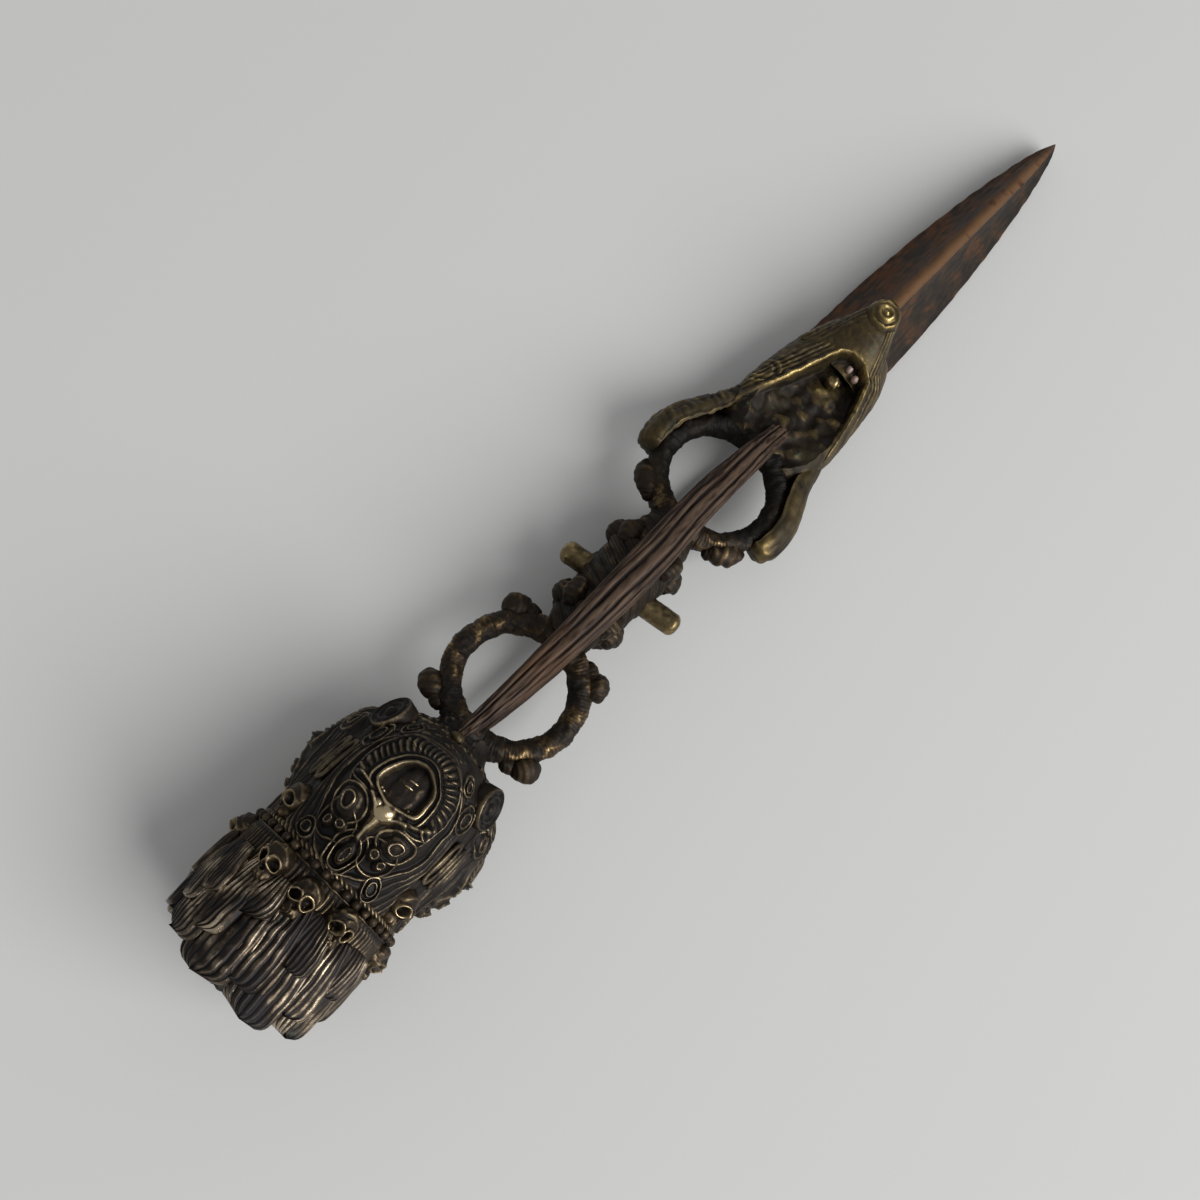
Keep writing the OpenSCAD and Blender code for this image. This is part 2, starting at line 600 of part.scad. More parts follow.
// Blade: three fins with hollow faces, swelling from the shoulder and drawn to the tip
blade_steps = 16;
face_points = 6;
function blade_reach(t) = blade_r * pow(1 - t * t, 0.75);
function fin_corner(k, side, reach, edge) = let (a = k * face_step)
    [-reach * sin(a) + side * edge / 2 * cos(a), reach * cos(a) + side * edge / 2 * sin(a)];
function fin_valley(k, reach) = let (a = (k + 0.5) * face_step) [reach * 0.16 * -sin(a), reach * 0.16 * cos(a)];
function bend(a, b, c, t) = (1 - t) * (1 - t) * a + 2 * t * (1 - t) * b + t * t * c;
function blade_section(x, reach, edge) = [for (k = [0:face_count - 1], i = [0:face_points]) let (
    p = bend(fin_corner(k, -1, reach, edge), fin_valley(k, reach), fin_corner(k + 1, 1, reach, edge), i / face_points))
    [x, p[0], p[1]]];
module blade_fins(grow) loft([for (i = [0:blade_steps]) let (t = i / blade_steps,
    reach = i == blade_steps ? 0.5 : blade_reach(t), edge = min(blade_edge, reach * 0.5))
    blade_section(shoulder_x + t * blade_len - (i == 0 ? grow : 0), reach + grow, edge + 2 * grow)]);
module tang(width, length) translate([shoulder_x - length, -width / 2, -width / 2]) cube([length + 0.5, width, width]);
module blade() color("#6b4330") lay() union() {
    blade_fins(0);
    tang(tang_w, tang_len);
}

hair();
crown_band();
diadem_beads();
crown_skulls();
head_core();
face_front();
face_left();
face_right();
beards();
ear_loops();
ear_discs();
neck_collar();
lower_ring();
lower_ring_knobs();
knot_core();
knot_lobes();
cross_rod();
upper_ring();
upper_ring_knobs();
bar_front();
bar_back();
bar_toes();
makara_head();
jaw_left();
jaw_right();
snout_front();
snout_back();
makara_teeth();
mouth_pearls();
blade();
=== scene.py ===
import math

import bpy
import numpy as np
from mathutils import Matrix, Vector


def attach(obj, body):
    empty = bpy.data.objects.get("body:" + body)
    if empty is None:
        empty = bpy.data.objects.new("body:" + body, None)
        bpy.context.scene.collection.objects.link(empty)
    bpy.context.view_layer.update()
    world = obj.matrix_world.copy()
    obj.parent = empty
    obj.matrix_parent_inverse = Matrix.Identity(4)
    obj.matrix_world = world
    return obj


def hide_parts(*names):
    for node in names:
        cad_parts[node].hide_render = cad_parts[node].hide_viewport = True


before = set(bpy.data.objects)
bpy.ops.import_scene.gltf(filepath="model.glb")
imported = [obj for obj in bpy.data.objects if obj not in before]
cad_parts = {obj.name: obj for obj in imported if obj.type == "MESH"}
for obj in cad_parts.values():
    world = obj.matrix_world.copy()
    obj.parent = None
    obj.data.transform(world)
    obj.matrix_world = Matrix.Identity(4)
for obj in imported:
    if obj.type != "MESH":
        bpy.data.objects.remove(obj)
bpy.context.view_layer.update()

# Head: three wrathful faces look out at a third of a turn from each other. All of the
# dagger but its iron was worked in wax and cast in brass, the faces as solid reliefs. One
# carving is written here and laid on each side of the head.

# Every piece is shaped in millimetres along the dagger's own axis, from the hair end at
# 0 to the tip at 270, with the front face up. LAY sets it down as it lies on the ground.
SLOPE = math.radians(3.24584)
LIFT, MIDDLE = 18.7386, 134.7656
LAY = Matrix.Scale(0.001, 4) @ Matrix.Translation((-MIDDLE, 0, LIFT)) @ Matrix.Rotation(SLOPE, 4, "Y")


def uneven(points, size, seed):
    """Smooth hand-made unevenness from -1 to 1, with swells of about that size."""
    waves = 22
    rng = np.random.default_rng(seed)
    way = rng.normal(size=(waves, 3))
    way /= np.linalg.norm(way, axis=1)[:, None]
    pitch = 2 * math.pi / (size * rng.uniform(0.6, 1.8, waves))
    start = rng.uniform(0, 2 * math.pi, waves)
    flat = np.asarray(points, float).reshape(-1, 3)
    swell = np.sin(flat @ (way * pitch[:, None]).T + start).sum(1)
    return np.clip(swell / math.sqrt(waves), -1, 1).reshape(np.shape(points)[:-1])


def by_hand(points, amount, size, seed, ways=(1, 1, 1)):
    """The points a little out of place, as a hand leaves them, more or less along each axis."""
    return points + (amount * uneven(points, size, seed))[..., None] * np.array(ways)


def grid(first, second):
    """Every pair of the two rows of numbers, as two tables."""
    return np.meshgrid(first, second, indexing="ij")


def limited(value):
    """The value kept between 0 and 1."""
    return np.clip(value, 0, 1)


def hill(x, middle, width):
    """A rounded rise of height 1 round a middle."""
    return np.exp(-((x - middle) / width) ** 2)


def worn_relief(mesh, steps, depth):
    """How far each point stands above its surroundings: 1 on worn ridges, -1 in recesses."""
    count = len(mesh.vertices)
    points, normal = np.empty(count * 3), np.empty(count * 3)
    mesh.vertices.foreach_get("co", points)
    mesh.vertices.foreach_get("normal", normal)
    points, normal = points.reshape(-1, 3), normal.reshape(-1, 3)
    pairs = np.empty(len(mesh.edges) * 2, int)
    mesh.edges.foreach_get("vertices", pairs)
    pairs = pairs.reshape(-1, 2)
    span = np.linalg.norm(points[pairs[:, 0]] - points[pairs[:, 1]], axis=1)
    pairs = pairs[span < 1.0]
    near = np.bincount(pairs.ravel(), minlength=count).clip(1)
    calm = points.copy()
    for _ in range(steps):
        drawn = np.zeros_like(calm)
        for axis in range(3):
            drawn[:, axis] = (np.bincount(pairs[:, 0], calm[pairs[:, 1], axis], count)
                              + np.bincount(pairs[:, 1], calm[pairs[:, 0], axis], count))
        calm = 0.4 * calm + 0.6 * drawn / near[:, None]
    return np.clip(((points - calm) * normal).sum(1) / depth, -1, 1)


def lay_down(name, mesh, node, steps, depth, rubbed=0.0):
    """Marks the wear, and any painted shade passed in rubbed, on a finished mesh, lays it down and puts it on
    the body in its node's place.
    """
    relief = worn_relief(mesh, steps, depth)
    if callable(rubbed):
        points = np.empty(len(relief) * 3)
        mesh.vertices.foreach_get("co", points)
        rubbed = rubbed(points.reshape(-1, 3))
    relief = (relief + rubbed).astype(np.float32)
    mesh.attributes.new("relief", "FLOAT", "POINT").data.foreach_set("value", relief)
    mesh.transform(LAY)
    mesh.polygons.foreach_set("use_smooth", np.ones(len(mesh.polygons), bool))
    mesh.update()
    piece = bpy.data.objects.new(name, mesh)
    bpy.context.scene.collection.objects.link(piece)
    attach(piece, "root")
    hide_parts(node)


def cast(name, shapes, material, node, steps=14, depth=0.12, rubbed=0.0):
    """One piece from closed shapes, each a pair of points and lists of its faces."""
    points, faces, start = [], [], 0
    for shape_points, shape_faces in shapes:
        volume = 0.0
        for f in shape_faces:
            corner = shape_points[f]
            for k in range(1, f.shape[1] - 1):
                spanned = np.cross(corner[:, k], corner[:, k + 1])
                volume += np.einsum("ij,ij->i", corner[:, 0], spanned).sum()
        for f in shape_faces:
            faces += ((f[:, ::-1] if volume < 0 else f) + start).tolist()
        points.append(shape_points)
        start += len(shape_points)
    mesh = bpy.data.meshes.new(name)
    mesh.from_pydata(np.concatenate(points).tolist(), [], faces)
    mesh.materials.append(material)
    lay_down(name, mesh, node, steps, depth, rubbed)


def wax_sheet(skin, apex):
    """A closed solid: a fine skin given as a grid of points, drawn in to one point inside."""
    n, m = skin.shape[:2]
    at = np.arange(n * m).reshape(n, m)
    quads = np.stack([at[:-1, :-1], at[1:, :-1], at[1:, 1:], at[:-1, 1:]], -1).reshape(-1, 4)
    rim = np.concatenate([at[0, :], at[1:, -1], at[-1, -2::-1], at[-2:0:-1, 0]])
    sides = np.stack([np.roll(rim, -1), rim, np.full(len(rim), n * m)], -1)
    return np.concatenate([skin.reshape(-1, 3), [apex]]), [quads, sides[:, ::-1]]


def round_axis(x, angle, radius):
    """Points at a station, an angle in degrees from the front towards the right side, and a radius."""
    a = np.radians(angle)
    return np.stack([x + 0 * a, -radius * np.sin(a), radius * np.cos(a)], -1)


class Finish:
    """A metal's material: the piece's own coordinates, its wear and any painted shade, and short ways to add
    nodes.
    """

    def __init__(self, name):
        self.made = bpy.data.materials.new(name)
        self.made.use_nodes = True
        self.tree = self.made.node_tree
        self.place = self.add("TexCoord", {}).outputs["Object"]
        self.relief = self.add("Attribute", {}, attribute_name="relief").outputs["Fac"]

    def add(self, kind, values, **settings):
        node = self.tree.nodes.new("ShaderNode" + kind)
        for setting, value in settings.items():
            setattr(node, setting, value)
        return self.fill(node, values)

    def fill(self, node, values):
        """Sets a node's sockets, or joins them where the value is another node's output."""
        for socket, value in values.items():
            if isinstance(value, bpy.types.NodeSocket):
                self.tree.links.new(value, node.inputs[socket])
            else:
                node.inputs[socket].default_value = value
        return node

    def noise(self, scale, detail, roughness=0.55, vector=None):
        values = {"Vector": vector or self.place, "Scale": scale, "Detail": detail, "Roughness": roughness}
        return self.add("TexNoise", values).outputs["Fac"]

    def calc(self, kind, *values, clamp=False):
        return self.add("Math", dict(enumerate(values)), operation=kind, use_clamp=clamp).outputs[0]

    def spread(self, value, low, high, to_low, to_high):
        values = {"Value": value, "From Min": low, "From Max": high, "To Min": to_low, "To Max": to_high}
        return self.add("MapRange", values).outputs["Result"]

    def mixed(self, share, colour, other):
        values = {"Factor": share, "A": colour, "B": (*other, 1)}
        return self.add("Mix", values, data_type="RGBA").outputs["Result"]

    def graded(self, value, stops):
        """Colours along a scale, each a pair of its place on the scale and the colour."""
        ramp = self.add("ValToRGB", {"Fac": value})
        for position, _ in stops[1:-1]:
            ramp.color_ramp.elements.new(position)
        for element, (position, colour) in zip(ramp.color_ramp.elements, stops):
            element.position, element.color = position, (*colour, 1)
        return ramp.outputs["Color"]

    def close(self, colour, roughness, metallic, height, strength, distance):
        bump = self.add("Bump", {"Height": height, "Strength": strength, "Distance": distance})
        self.fill(self.tree.nodes["Principled BSDF"], {
            "Base Color": colour, "Roughness": roughness, "Metallic": metallic,
            "Normal": bump.outputs["Normal"], "Specular IOR Level": 0.25})
        return self.made


def patina(name, deep, skin, worn, green, green_from, rough, rub=0.0, tint=None):
    """Cast brass with a dark skin, rubbed to golden metal on high places, dusty and green in low ones."""
    m = Finish(name)
    blotch, speck = m.noise(240, 4), m.noise(1500, 6, 0.7)
    high = m.calc("MULTIPLY_ADD", m.relief, 0.46, 0.36 + rub)
    high = m.calc("ADD", high, m.calc("MULTIPLY", m.calc("SUBTRACT", blotch, 0.5), 0.75))
    high = m.calc("ADD", high, m.calc("MULTIPLY", m.calc("SUBTRACT", speck, 0.5), 0.5), clamp=True)
    brown = [0.7 * s + 0.3 * w for s, w in zip(skin, worn)]
    metal = m.graded(high, [(0.16, deep), (0.5, skin), (0.78, brown), (0.97, worn)])
    crust = m.calc("MULTIPLY", m.calc("SUBTRACT", m.noise(310, 5, 0.65), green_from), 9.0, clamp=True)
    crust = m.calc("MULTIPLY", crust, m.calc("SUBTRACT", 1.15, high, clamp=True))
    cloud = m.spread(m.noise(95, 3), 0.45, 0.62, 0.0, 0.7 if tint else 0.0)
    colour = m.mixed(crust, m.mixed(cloud, metal, tint or skin), green)
    roughness = m.calc("ADD", m.spread(high, 0.2, 0.95, *rough), m.calc("MULTIPLY", crust, 0.3))
    bare = m.calc("SUBTRACT", m.spread(high, 0.3, 0.75, 0.35, 0.95), crust, clamp=True)
    grain = m.calc("ADD", m.noise(900, 5, 0.6), m.calc("MULTIPLY", m.noise(4200, 3), 0.5))
    return m.close(colour, roughness, bare, grain, 0.5, 0.00012)


head_brass = patina("head brass", (0.004, 0.0032, 0.003), (0.018, 0.0125, 0.0085), (0.46, 0.36, 0.22),
                    (0.04, 0.06, 0.045), 0.72, rub=-0.06, rough=(0.55, 0.27))
THIRD_TURN = 120
HEAD_START, HEAD_END = 24.0, 57.0
BROW, CHIN = 24.6, 49.6
MASK_X, MASK_OFF, MASK_R = 40.0, 5.0, 14.0
NOSE_X = 37.2
ARC = math.radians(1) * 19
TUCKED_IN = 0.45


def bump_at(x, b, cx, cb, radius, height, stretch=1.0):
    """A round swelling."""
    d = np.hypot(x - cx, (b - cb) / stretch) / radius
    return height * np.sqrt(limited(1 - d * d))


def rim_at(x, b, cx, cb, radius, width, height, stretch=1.0):
    """A rounded ridge in a ring."""
    d = np.hypot(x - cx, (b - cb) / stretch) - radius
    return height * hill(d, 0, width)


def crease(x, b, ax, ab, cx, cb, width, height):
    """A rounded ridge along the line between two points."""
    vx, vb = cx - ax, cb - ab
    t = limited(((x - ax) * vx + (b - ab) * vb) / (vx * vx + vb * vb))
    d = np.hypot(x - ax - t * vx, b - ab - t * vb)
    return height * hill(d, 0, width)


def mask_relief(x, b):
    """Carving of one face: x runs towards the neck, b across, both in millimetres."""
    eye, inner_curl, outer_curl, third_eye, lips = (35.6, 5.7), (32.4, 4.3), (31.9, 6.8), (29.5, 0), (43.6, 0)
    b = b - 0.5
    side = np.abs(b)
    from_lips = np.hypot(x - lips[0], b / 1.06)
    low = 0.9 * hill(x, 41, 3.4) * hill(side, 7.6, 3.2) - 0.9 * hill(x, 35.5, 2.6) * hill(side, 2.3, 1.3)
    # From the top: eyes, curled brows, third eye, nose, cheek lines and lips
    high = [
        bump_at(x, side, *eye, 2.3, 1.0, 1.15),
        rim_at(x, side, *eye, 1.15, 0.3, 1.5),
        rim_at(x, side, *eye, 2.7, 0.38, 0.85, 1.3),
        bump_at(x, side, *inner_curl, 1.45, 1.5),
        rim_at(x, side, *inner_curl, 0.75, 0.26, 1.85),
        bump_at(x, side, *outer_curl, 1.35, 1.35),
        rim_at(x, side, *outer_curl, 0.7, 0.25, 1.7),
        rim_at(x, side, 32.2, 5.4, 3.2, 0.34, 0.8, 1.25),
        bump_at(x, b, *third_eye, 1.9, 1.5),
        rim_at(x, b, *third_eye, 1.0, 0.26, 1.9, 0.7),
        rim_at(x, b, *third_eye, 2.7, 0.32, 1.1),
        rim_at(x, b, 29.6, 0, 3.8, 0.34, 0.8),
        crease(x, b, 32.2, 0, 37.6, 0, 1.0, 1.7),
        bump_at(x, b, 37.9, 0, 1.7, 2.2, 1.2),
        crease(x, side, 37.0, 0.4, 39.0, 3.4, 0.7, 1.9),
        bump_at(x, side, 38.5, 2.1, 1.25, 1.7),
        crease(x, side, 39.6, 3.2, 41.5, 8.2, 0.5, 0.9),
        crease(x, side, 38.4, 3.6, 39.4, 9.0, 0.4, 0.7),
        rim_at(x, b, *lips, 4.3, 0.55, 1.5, 1.06),
        rim_at(x, b, *lips, 5.6, 0.36, 0.8, 1.06),
    ]
    carved = np.maximum.reduce(high)
    # The beard's fringe fans out from the chin, closed by a cord line
    turn = np.degrees(np.arctan2(b, x - lips[0]))
    fringe = (from_lips > 6.3) & (from_lips < 9.4) & (np.abs(turn) < 118)
    strands = 0.75 * np.abs(np.sin(np.radians(turn) * 21 + 0.5 * from_lips)) ** 0.7
    strands = strands * np.sin(math.pi * limited((from_lips - 6.3) / 3.1)) ** 0.5
    carved += np.where(fringe, strands, 0)
    carved = np.maximum(carved, np.where(np.abs(turn) < 125, rim_at(x, b, *lips, 9.7, 0.35, 0.8), 0))
    # The face's outline, and the lines of the hair drawn back from it
    outline = np.hypot((x - 39.5) / 13.2, b / 12.6)
    carved = np.maximum(carved, 0.8 * hill(outline, 1, 0.035))
    drawn = 0.45 * np.abs(np.sin(28 * outline)) * limited((53 - x) / 3)
    carved = np.maximum(carved, np.where(outline > 1.03, drawn, 0))
    for cx, cs, size in ((47.6, 13.2, 2.7), (28.4, 9.4, 1.9), (52.0, 8.6, 1.7)):
        curl = [
            rim_at(x, side, cx, cs, size, 0.32, 1.0),
            rim_at(x, side, cx, cs, size * 0.52, 0.28, 1.1),
            bump_at(x, side, cx, cs, size * 0.85, 0.6),
        ]
        carved = np.maximum.reduce([carved, *curl])
    # The open mouth, cut in last: its ribbed tongue and the teeth along the upper lip
    carved -= 2.9 * limited((3.85 - from_lips) / 0.8)
    tongue = bump_at(x, b, 44.6, 0, 2.5, 2.7, 0.8) * (1 + 0.16 * np.cos(5.2 * (x - 44)))
    teeth = 2.2 * hill(x - 0.05 * b * b, 40.9, 0.55)
    teeth = teeth * (np.abs(np.sin(2.4 * b)) > 0.25) * (side < 2.9)
    carved += np.where(from_lips < 3.7, np.maximum(tongue, teeth), 0)
    return low + carved


def head_radius(x, turn):
    """Radius of the head's plain surface, at a station and an angle from the nearest face's middle."""
    s = limited((x - HEAD_START) / (HEAD_END - HEAD_START))
    block = 8 + 7 * np.sqrt(1 - s ** 4)
    ahead = limited((x - MASK_X) / 15.6)
    mask = np.where(x < MASK_X, np.sqrt(np.clip(MASK_R ** 2 - (MASK_X - x) ** 2, 1, None)),
                    MASK_R * limited(1 - ahead ** 3.2) ** 0.385)
    a = np.radians(turn)
    over = MASK_OFF * np.cos(a) + np.sqrt(np.clip(mask ** 2 - (MASK_OFF * np.sin(a)) ** 2, 0.04, None))
    cheek = limited((np.abs(turn) - 16) / 22)
    over -= 1.25 * cheek * cheek * (3 - 2 * cheek)
    return np.log(np.exp(1.6 * (block - 15)) + np.exp(1.6 * (over - 15))) / 1.6 + 15


def face_skin(middle, stations, turns, edge=3.5):
    """Carved skin of one side of the head, its lines a little astray and its rim tucked in."""
    x, turn = grid(stations, turns)
    across = -turn * ARC
    flat = np.stack([x, across, 0 * x], -1)
    seeds = middle + 130, middle + 131
    astray = [0.42 * uneven(flat, 7.5, seed) + 0.05 * uneven(flat, 2.6, seed) for seed in seeds]
    relief = mask_relief(x + astray[0], across + astray[1])
    hold = limited((turns[-1] - np.abs(turn)) / edge) * limited((x - stations[0] + 0.4) / 1.2)
    radius = head_radius(x, turn) - TUCKED_IN + (relief + TUCKED_IN) * hold
    return by_hand(round_axis(x, turn + middle, radius), 0.05 * hold, 1.6, 5, (0, 0.7, 0.7))


def worn_nose(points, nose):
    """Extra rubbing round the nose: bright on it with a ragged edge, fading over the eyes."""
    away = np.linalg.norm(points - nose, axis=1) + 1.1 * uneven(points, 1.8, 36)
    return 1.3 * limited(1.5 - away / 2.4) + 0.35 * limited(2 - away / 6)


for face_name, middle in (("face_front", 0), ("face_left", -THIRD_TURN), ("face_right", THIRD_TURN)):
    skin = face_skin(middle, np.linspace(BROW, CHIN, 152), np.linspace(-51, 51, 210))
    nose = round_axis(NOSE_X, middle - 1, 20.0)
    cast("carved_" + face_name, [wax_sheet(skin, round_axis(MASK_X, middle, 4.0))], head_brass,
         face_name, depth=0.2, rubbed=lambda points: worn_nose(points, nose))

# Beards: below each chin the carving runs on as a combed fringe with a cord line and a
# curl on each side. They are cast with the faces, and end in a blunt edge over the neck.
BEARD_START, BEARD_END = 49.2, 56.2
beards = []
for middle in (0, -THIRD_TURN, THIRD_TURN):
    skin = face_skin(middle, np.linspace(BEARD_START, BEARD_END, 46), np.linspace(-46, 46, 190), 2.0)
    beards.append(wax_sheet(skin, round_axis(50, middle, 4.0)))
cast("curled_beards", beards, head_brass, "beards", steps=20, depth=0.22)


# Head block: what shows of it between the faces is filled with flowing lines that run
# from the crown to the ear discs. It is one casting with the root under the hair.
def wax_roll(rings):
    """A closed solid through closed rings of points, capped from the middle of each end."""
    n, m = rings.shape[:2]
    at = np.arange(n * m).reshape(n, m)
    on = np.roll(at, -1, 1)
    quads = np.stack([at[:-1], at[1:], on[1:], on[:-1]], -1).reshape(-1, 4)
    first = np.stack([at[0], on[0], np.full(m, n * m)], -1)
    last = np.stack([on[-1], at[-1], np.full(m, n * m + 1)], -1)
    points = np.concatenate([rings.reshape(-1, 3), [rings[0].mean(0)], [rings[-1].mean(0)]])
    return points, [quads, np.concatenate([first, last])]


BLOCK_START, BLOCK_END, BLOCK_R = 17.5, 57.2, 14.6
x, turn = grid(np.linspace(BLOCK_START, BLOCK_END, 150), np.arange(0, 360, 0.75))
away = np.abs((turn + 60) % THIRD_TURN - 60)
flow = 0.3 * np.abs(np.sin(0.9 * (60 - away) * ARC + 0.35 * np.sin(x / 3.1))) * limited((x - 26) / 3)
base = np.where(x < 27, BLOCK_R, head_radius(x, away)) - 0.5 + flow
base = np.minimum(base, 14.7 + 4 * limited((x - HEAD_START) / 6))
rings = round_axis(x, turn, base)
rough = 0.06 * uneven(rings, 2.0, 8) + 0.22 * uneven(rings, 1.5, 9) * limited((x - 50) / 3)
cast("head_block", [wax_roll(rings + rough[..., None])], head_brass, "head_core", depth=0.16)


# Ears: between two faces lies a pair of long hanging loops, laid on as bent wax wires,
# and below it a disc of concentric rings with a stud in its middle.
def all_round(count):
    """That many angles evenly spaced round a circle."""
    return np.linspace(0, 2 * math.pi, count, endpoint=False)


def out_from_axis(local, x, angle, radius):
    """Carries points modelled round the origin, outwards being +Z, to their place round the axis."""
    a = math.radians(angle)
    z = local[..., 2] + radius
    return np.stack([local[..., 0] + x, -z * math.sin(a) + local[..., 1] * math.cos(a),
                     z * math.cos(a) + local[..., 1] * math.sin(a)], -1)


def wire(path, radius, closed=False):
    """A round wire of wax along a path, its radius given once or at each point."""
    sides = 10
    radius = np.broadcast_to(radius, len(path))
    ahead = np.roll(path, -1, 0) - np.roll(path, 1, 0) if closed else np.gradient(path, axis=0)
    ahead /= np.linalg.norm(ahead, axis=1)[:, None]
    up = path * np.array([0, 1, 1]) + np.array([0, 1e-4, 0])
    side = np.cross(ahead, up)
    side /= np.linalg.norm(side, axis=1)[:, None]
    up = np.cross(side, ahead)
    a = all_round(sides)[None, :, None]
    rings = path[:, None] + radius[:, None, None] * (side[:, None] * np.cos(a) + up[:, None] * np.sin(a))
    if not closed:
        return wax_roll(rings)
    at = np.arange(len(path) * sides).reshape(len(path), sides)
    on, ring_on = np.roll(at, -1, 1), np.roll(at, -1, 0)
    quads = np.stack([at, ring_on, np.roll(ring_on, -1, 1), on], -1).reshape(-1, 4)
    return rings.reshape(-1, 3), [quads]


LOOP_LONG, LOOP_WIDE, LOOP_LEAN, LOOP_LIE = 4.4, 0.95, 0.09, 16.0
DISC_X, DISC_LIE, DISC_R = 52.1, 12.3, 4.25
DISC_TILT = math.radians(12)
ring, t = grid(np.linspace(0, DISC_R, 60)[1:], all_round(90))
stand = 1.9 + 0.55 * hill(ring, 3.8, 0.35) + 0.5 * hill(ring, 2.45, 0.32)
stand += bump_at(ring, 0, 0, 0, 1.15, 1.0) - 2.4 * limited((ring - 4.05) / 0.2)
stand += 0.12 * np.sin(9 * t) * hill(ring, 3.1, 0.4)
x, flat, steep = ring * np.cos(t), math.cos(DISC_TILT), math.sin(DISC_TILT)
disc = np.stack([x * flat + stand * steep, ring * np.sin(t), stand * flat - x * steep], -1)
t = all_round(72)
along = LOOP_LONG * np.sign(np.cos(t)) * np.abs(np.cos(t)) ** 0.55
core = np.linspace(-3.4, 3.4, 24)
loops, discs = [], []
for middle in (60, 180, 300):
    for offset in (-1.5, 1.5):
        turn = middle + np.degrees((LOOP_WIDE * np.sin(t) + offset + LOOP_LEAN * along) / LOOP_LIE)
        path = round_axis(MASK_X + along, turn, head_radius(MASK_X + along, 60.0) + 0.65)
        loops.append(wire(path, 0.46, closed=True))
        turn = middle + np.degrees((offset + LOOP_LEAN * core) / LOOP_LIE)
        path = round_axis(MASK_X + core, turn, head_radius(MASK_X + core, 60.0) + 0.4)
        loops.append(wire(path, 0.42 * np.sqrt(1.02 - (core / 3.4) ** 2)))
    discs.append(wax_roll(out_from_axis(disc, DISC_X, middle, DISC_LIE)))
cast("ear_wires", loops, head_brass, "ear_loops", steps=6, depth=0.16, rubbed=-0.3)
cast("ear_rosettes", discs, head_brass, "ear_discs", steps=10, depth=0.16)

# Crown band: a flat strip bent round the joint of hair and head, roped along the edge
# towards the faces, with fine lines drawn back under the skulls.
BAND_START, BAND_END, BAND_R = 18.06, 27.06, 15.2
crown_brass = patina("crown brass", (0.005, 0.004, 0.0032), (0.025, 0.016, 0.009), (0.5, 0.38, 0.22),
                     (0.04, 0.065, 0.05), 0.7, rub=-0.03, rough=(0.55, 0.27))
x, turn = grid(np.linspace(BAND_START, BAND_END, 64), np.arange(0, 360, 0.5))
rope = hill(x, 26.1, 0.7) * (0.25 + 0.35 * np.abs(np.sin(np.radians(turn) * 42 + 2.2 * x)))
line = 0.3 * hill(x, 24.3, 0.25)
drawn = 0.45 * np.abs(np.sin(np.radians(turn) * 45 + 0.9 * np.sin(0.8 * x))) * limited((24.2 - x) / 1.2)
band = round_axis(x, turn, BAND_R + rope + line + drawn - 0.5 * limited((x - 26.7) / 0.3))
cast("roped_crown", [wax_roll(band)], crown_brass, "crown_band", steps=8)


# Diadem beads: one row of small wax balls pressed on the band, close against each other.
# They are set round the band by rule, each a little different in size.
def tree_of(name, inputs):
    """An empty node tree with named number inputs, and short ways to add its nodes and sums."""
    tree = bpy.data.node_groups.new(name, "GeometryNodeTree")
    for label in inputs:
        tree.interface.new_socket(label, in_out="INPUT", socket_type="NodeSocketFloat")
    tree.interface.new_socket("Geometry", in_out="OUTPUT", socket_type="NodeSocketGeometry")
    entry = tree.nodes.new("NodeGroupInput")

    def add(kind, *values, operation=None, **sockets):
        node = tree.nodes.new(kind)
        if operation:
            node.operation = operation
        named = [(node.inputs[label], value) for label, value in sockets.items()]
        for socket, value in [*zip(node.inputs, values), *named]:
            if isinstance(value, bpy.types.NodeSocket):
                tree.links.new(value, socket)
            else:
                socket.default_value = value
        return node.outputs

    def calc(kind, *values):
        return add("ShaderNodeMath", *values, operation=kind)[0]

    def close(geometry, material):
        whole = add("GeometryNodeRealizeInstances", geometry)["Geometry"]
        dressed = add("GeometryNodeSetMaterial", Geometry=whole, Material=material)["Geometry"]
        tree.links.new(dressed, tree.nodes.new("NodeGroupOutput").inputs["Geometry"])

    return tree, entry.outputs, add, calc, close


def grow(tree, name, **values):
    """Runs a tree with its inputs set, and gives the plain mesh that it makes."""
    holder = bpy.data.objects.new(name, bpy.data.meshes.new(name))
    bpy.context.scene.collection.objects.link(holder)
    modifier = holder.modifiers.new(name, "NODES")
    modifier.node_group = tree
    for item in tree.interface.items_tree:
        if item.in_out == "INPUT":
            modifier[item.identifier] = float(values[item.name])
    graph = bpy.context.evaluated_depsgraph_get()
    mesh = bpy.data.meshes.new_from_object(holder.evaluated_get(graph), depsgraph=graph)
    holder.modifiers.remove(modifier)
    bpy.data.objects.remove(holder)
    return mesh


bead_row, given, add, calc, close = tree_of("bead row", ["Count", "Reach", "Size", "Station"])
circle = add("GeometryNodeCurvePrimitiveCircle", Resolution=given["Count"], Radius=given["Reach"])["Curve"]
bead = add("GeometryNodeMeshUVSphere", Segments=14, Rings=9, Radius=given["Size"])["Mesh"]
size = calc("MULTIPLY_ADD", add("ShaderNodeTexNoise", Scale=3.0)["Fac"], 0.5, 0.72)
row = add("GeometryNodeInstanceOnPoints", Points=circle, Instance=bead, Scale=size)["Instances"]
spot = add("ShaderNodeCombineXYZ", given["Station"])["Vector"]
row = add("GeometryNodeTransform", Geometry=row, Rotation=(0, math.pi / 2, 0), Translation=spot)["Geometry"]
close(row, crown_brass)
beads = grow(bead_row, "diadem_row", Count=42, Reach=16.0, Size=0.85, Station=25.1)
lay_down("diadem_row", beads, "diadem_beads", steps=4, depth=0.4)

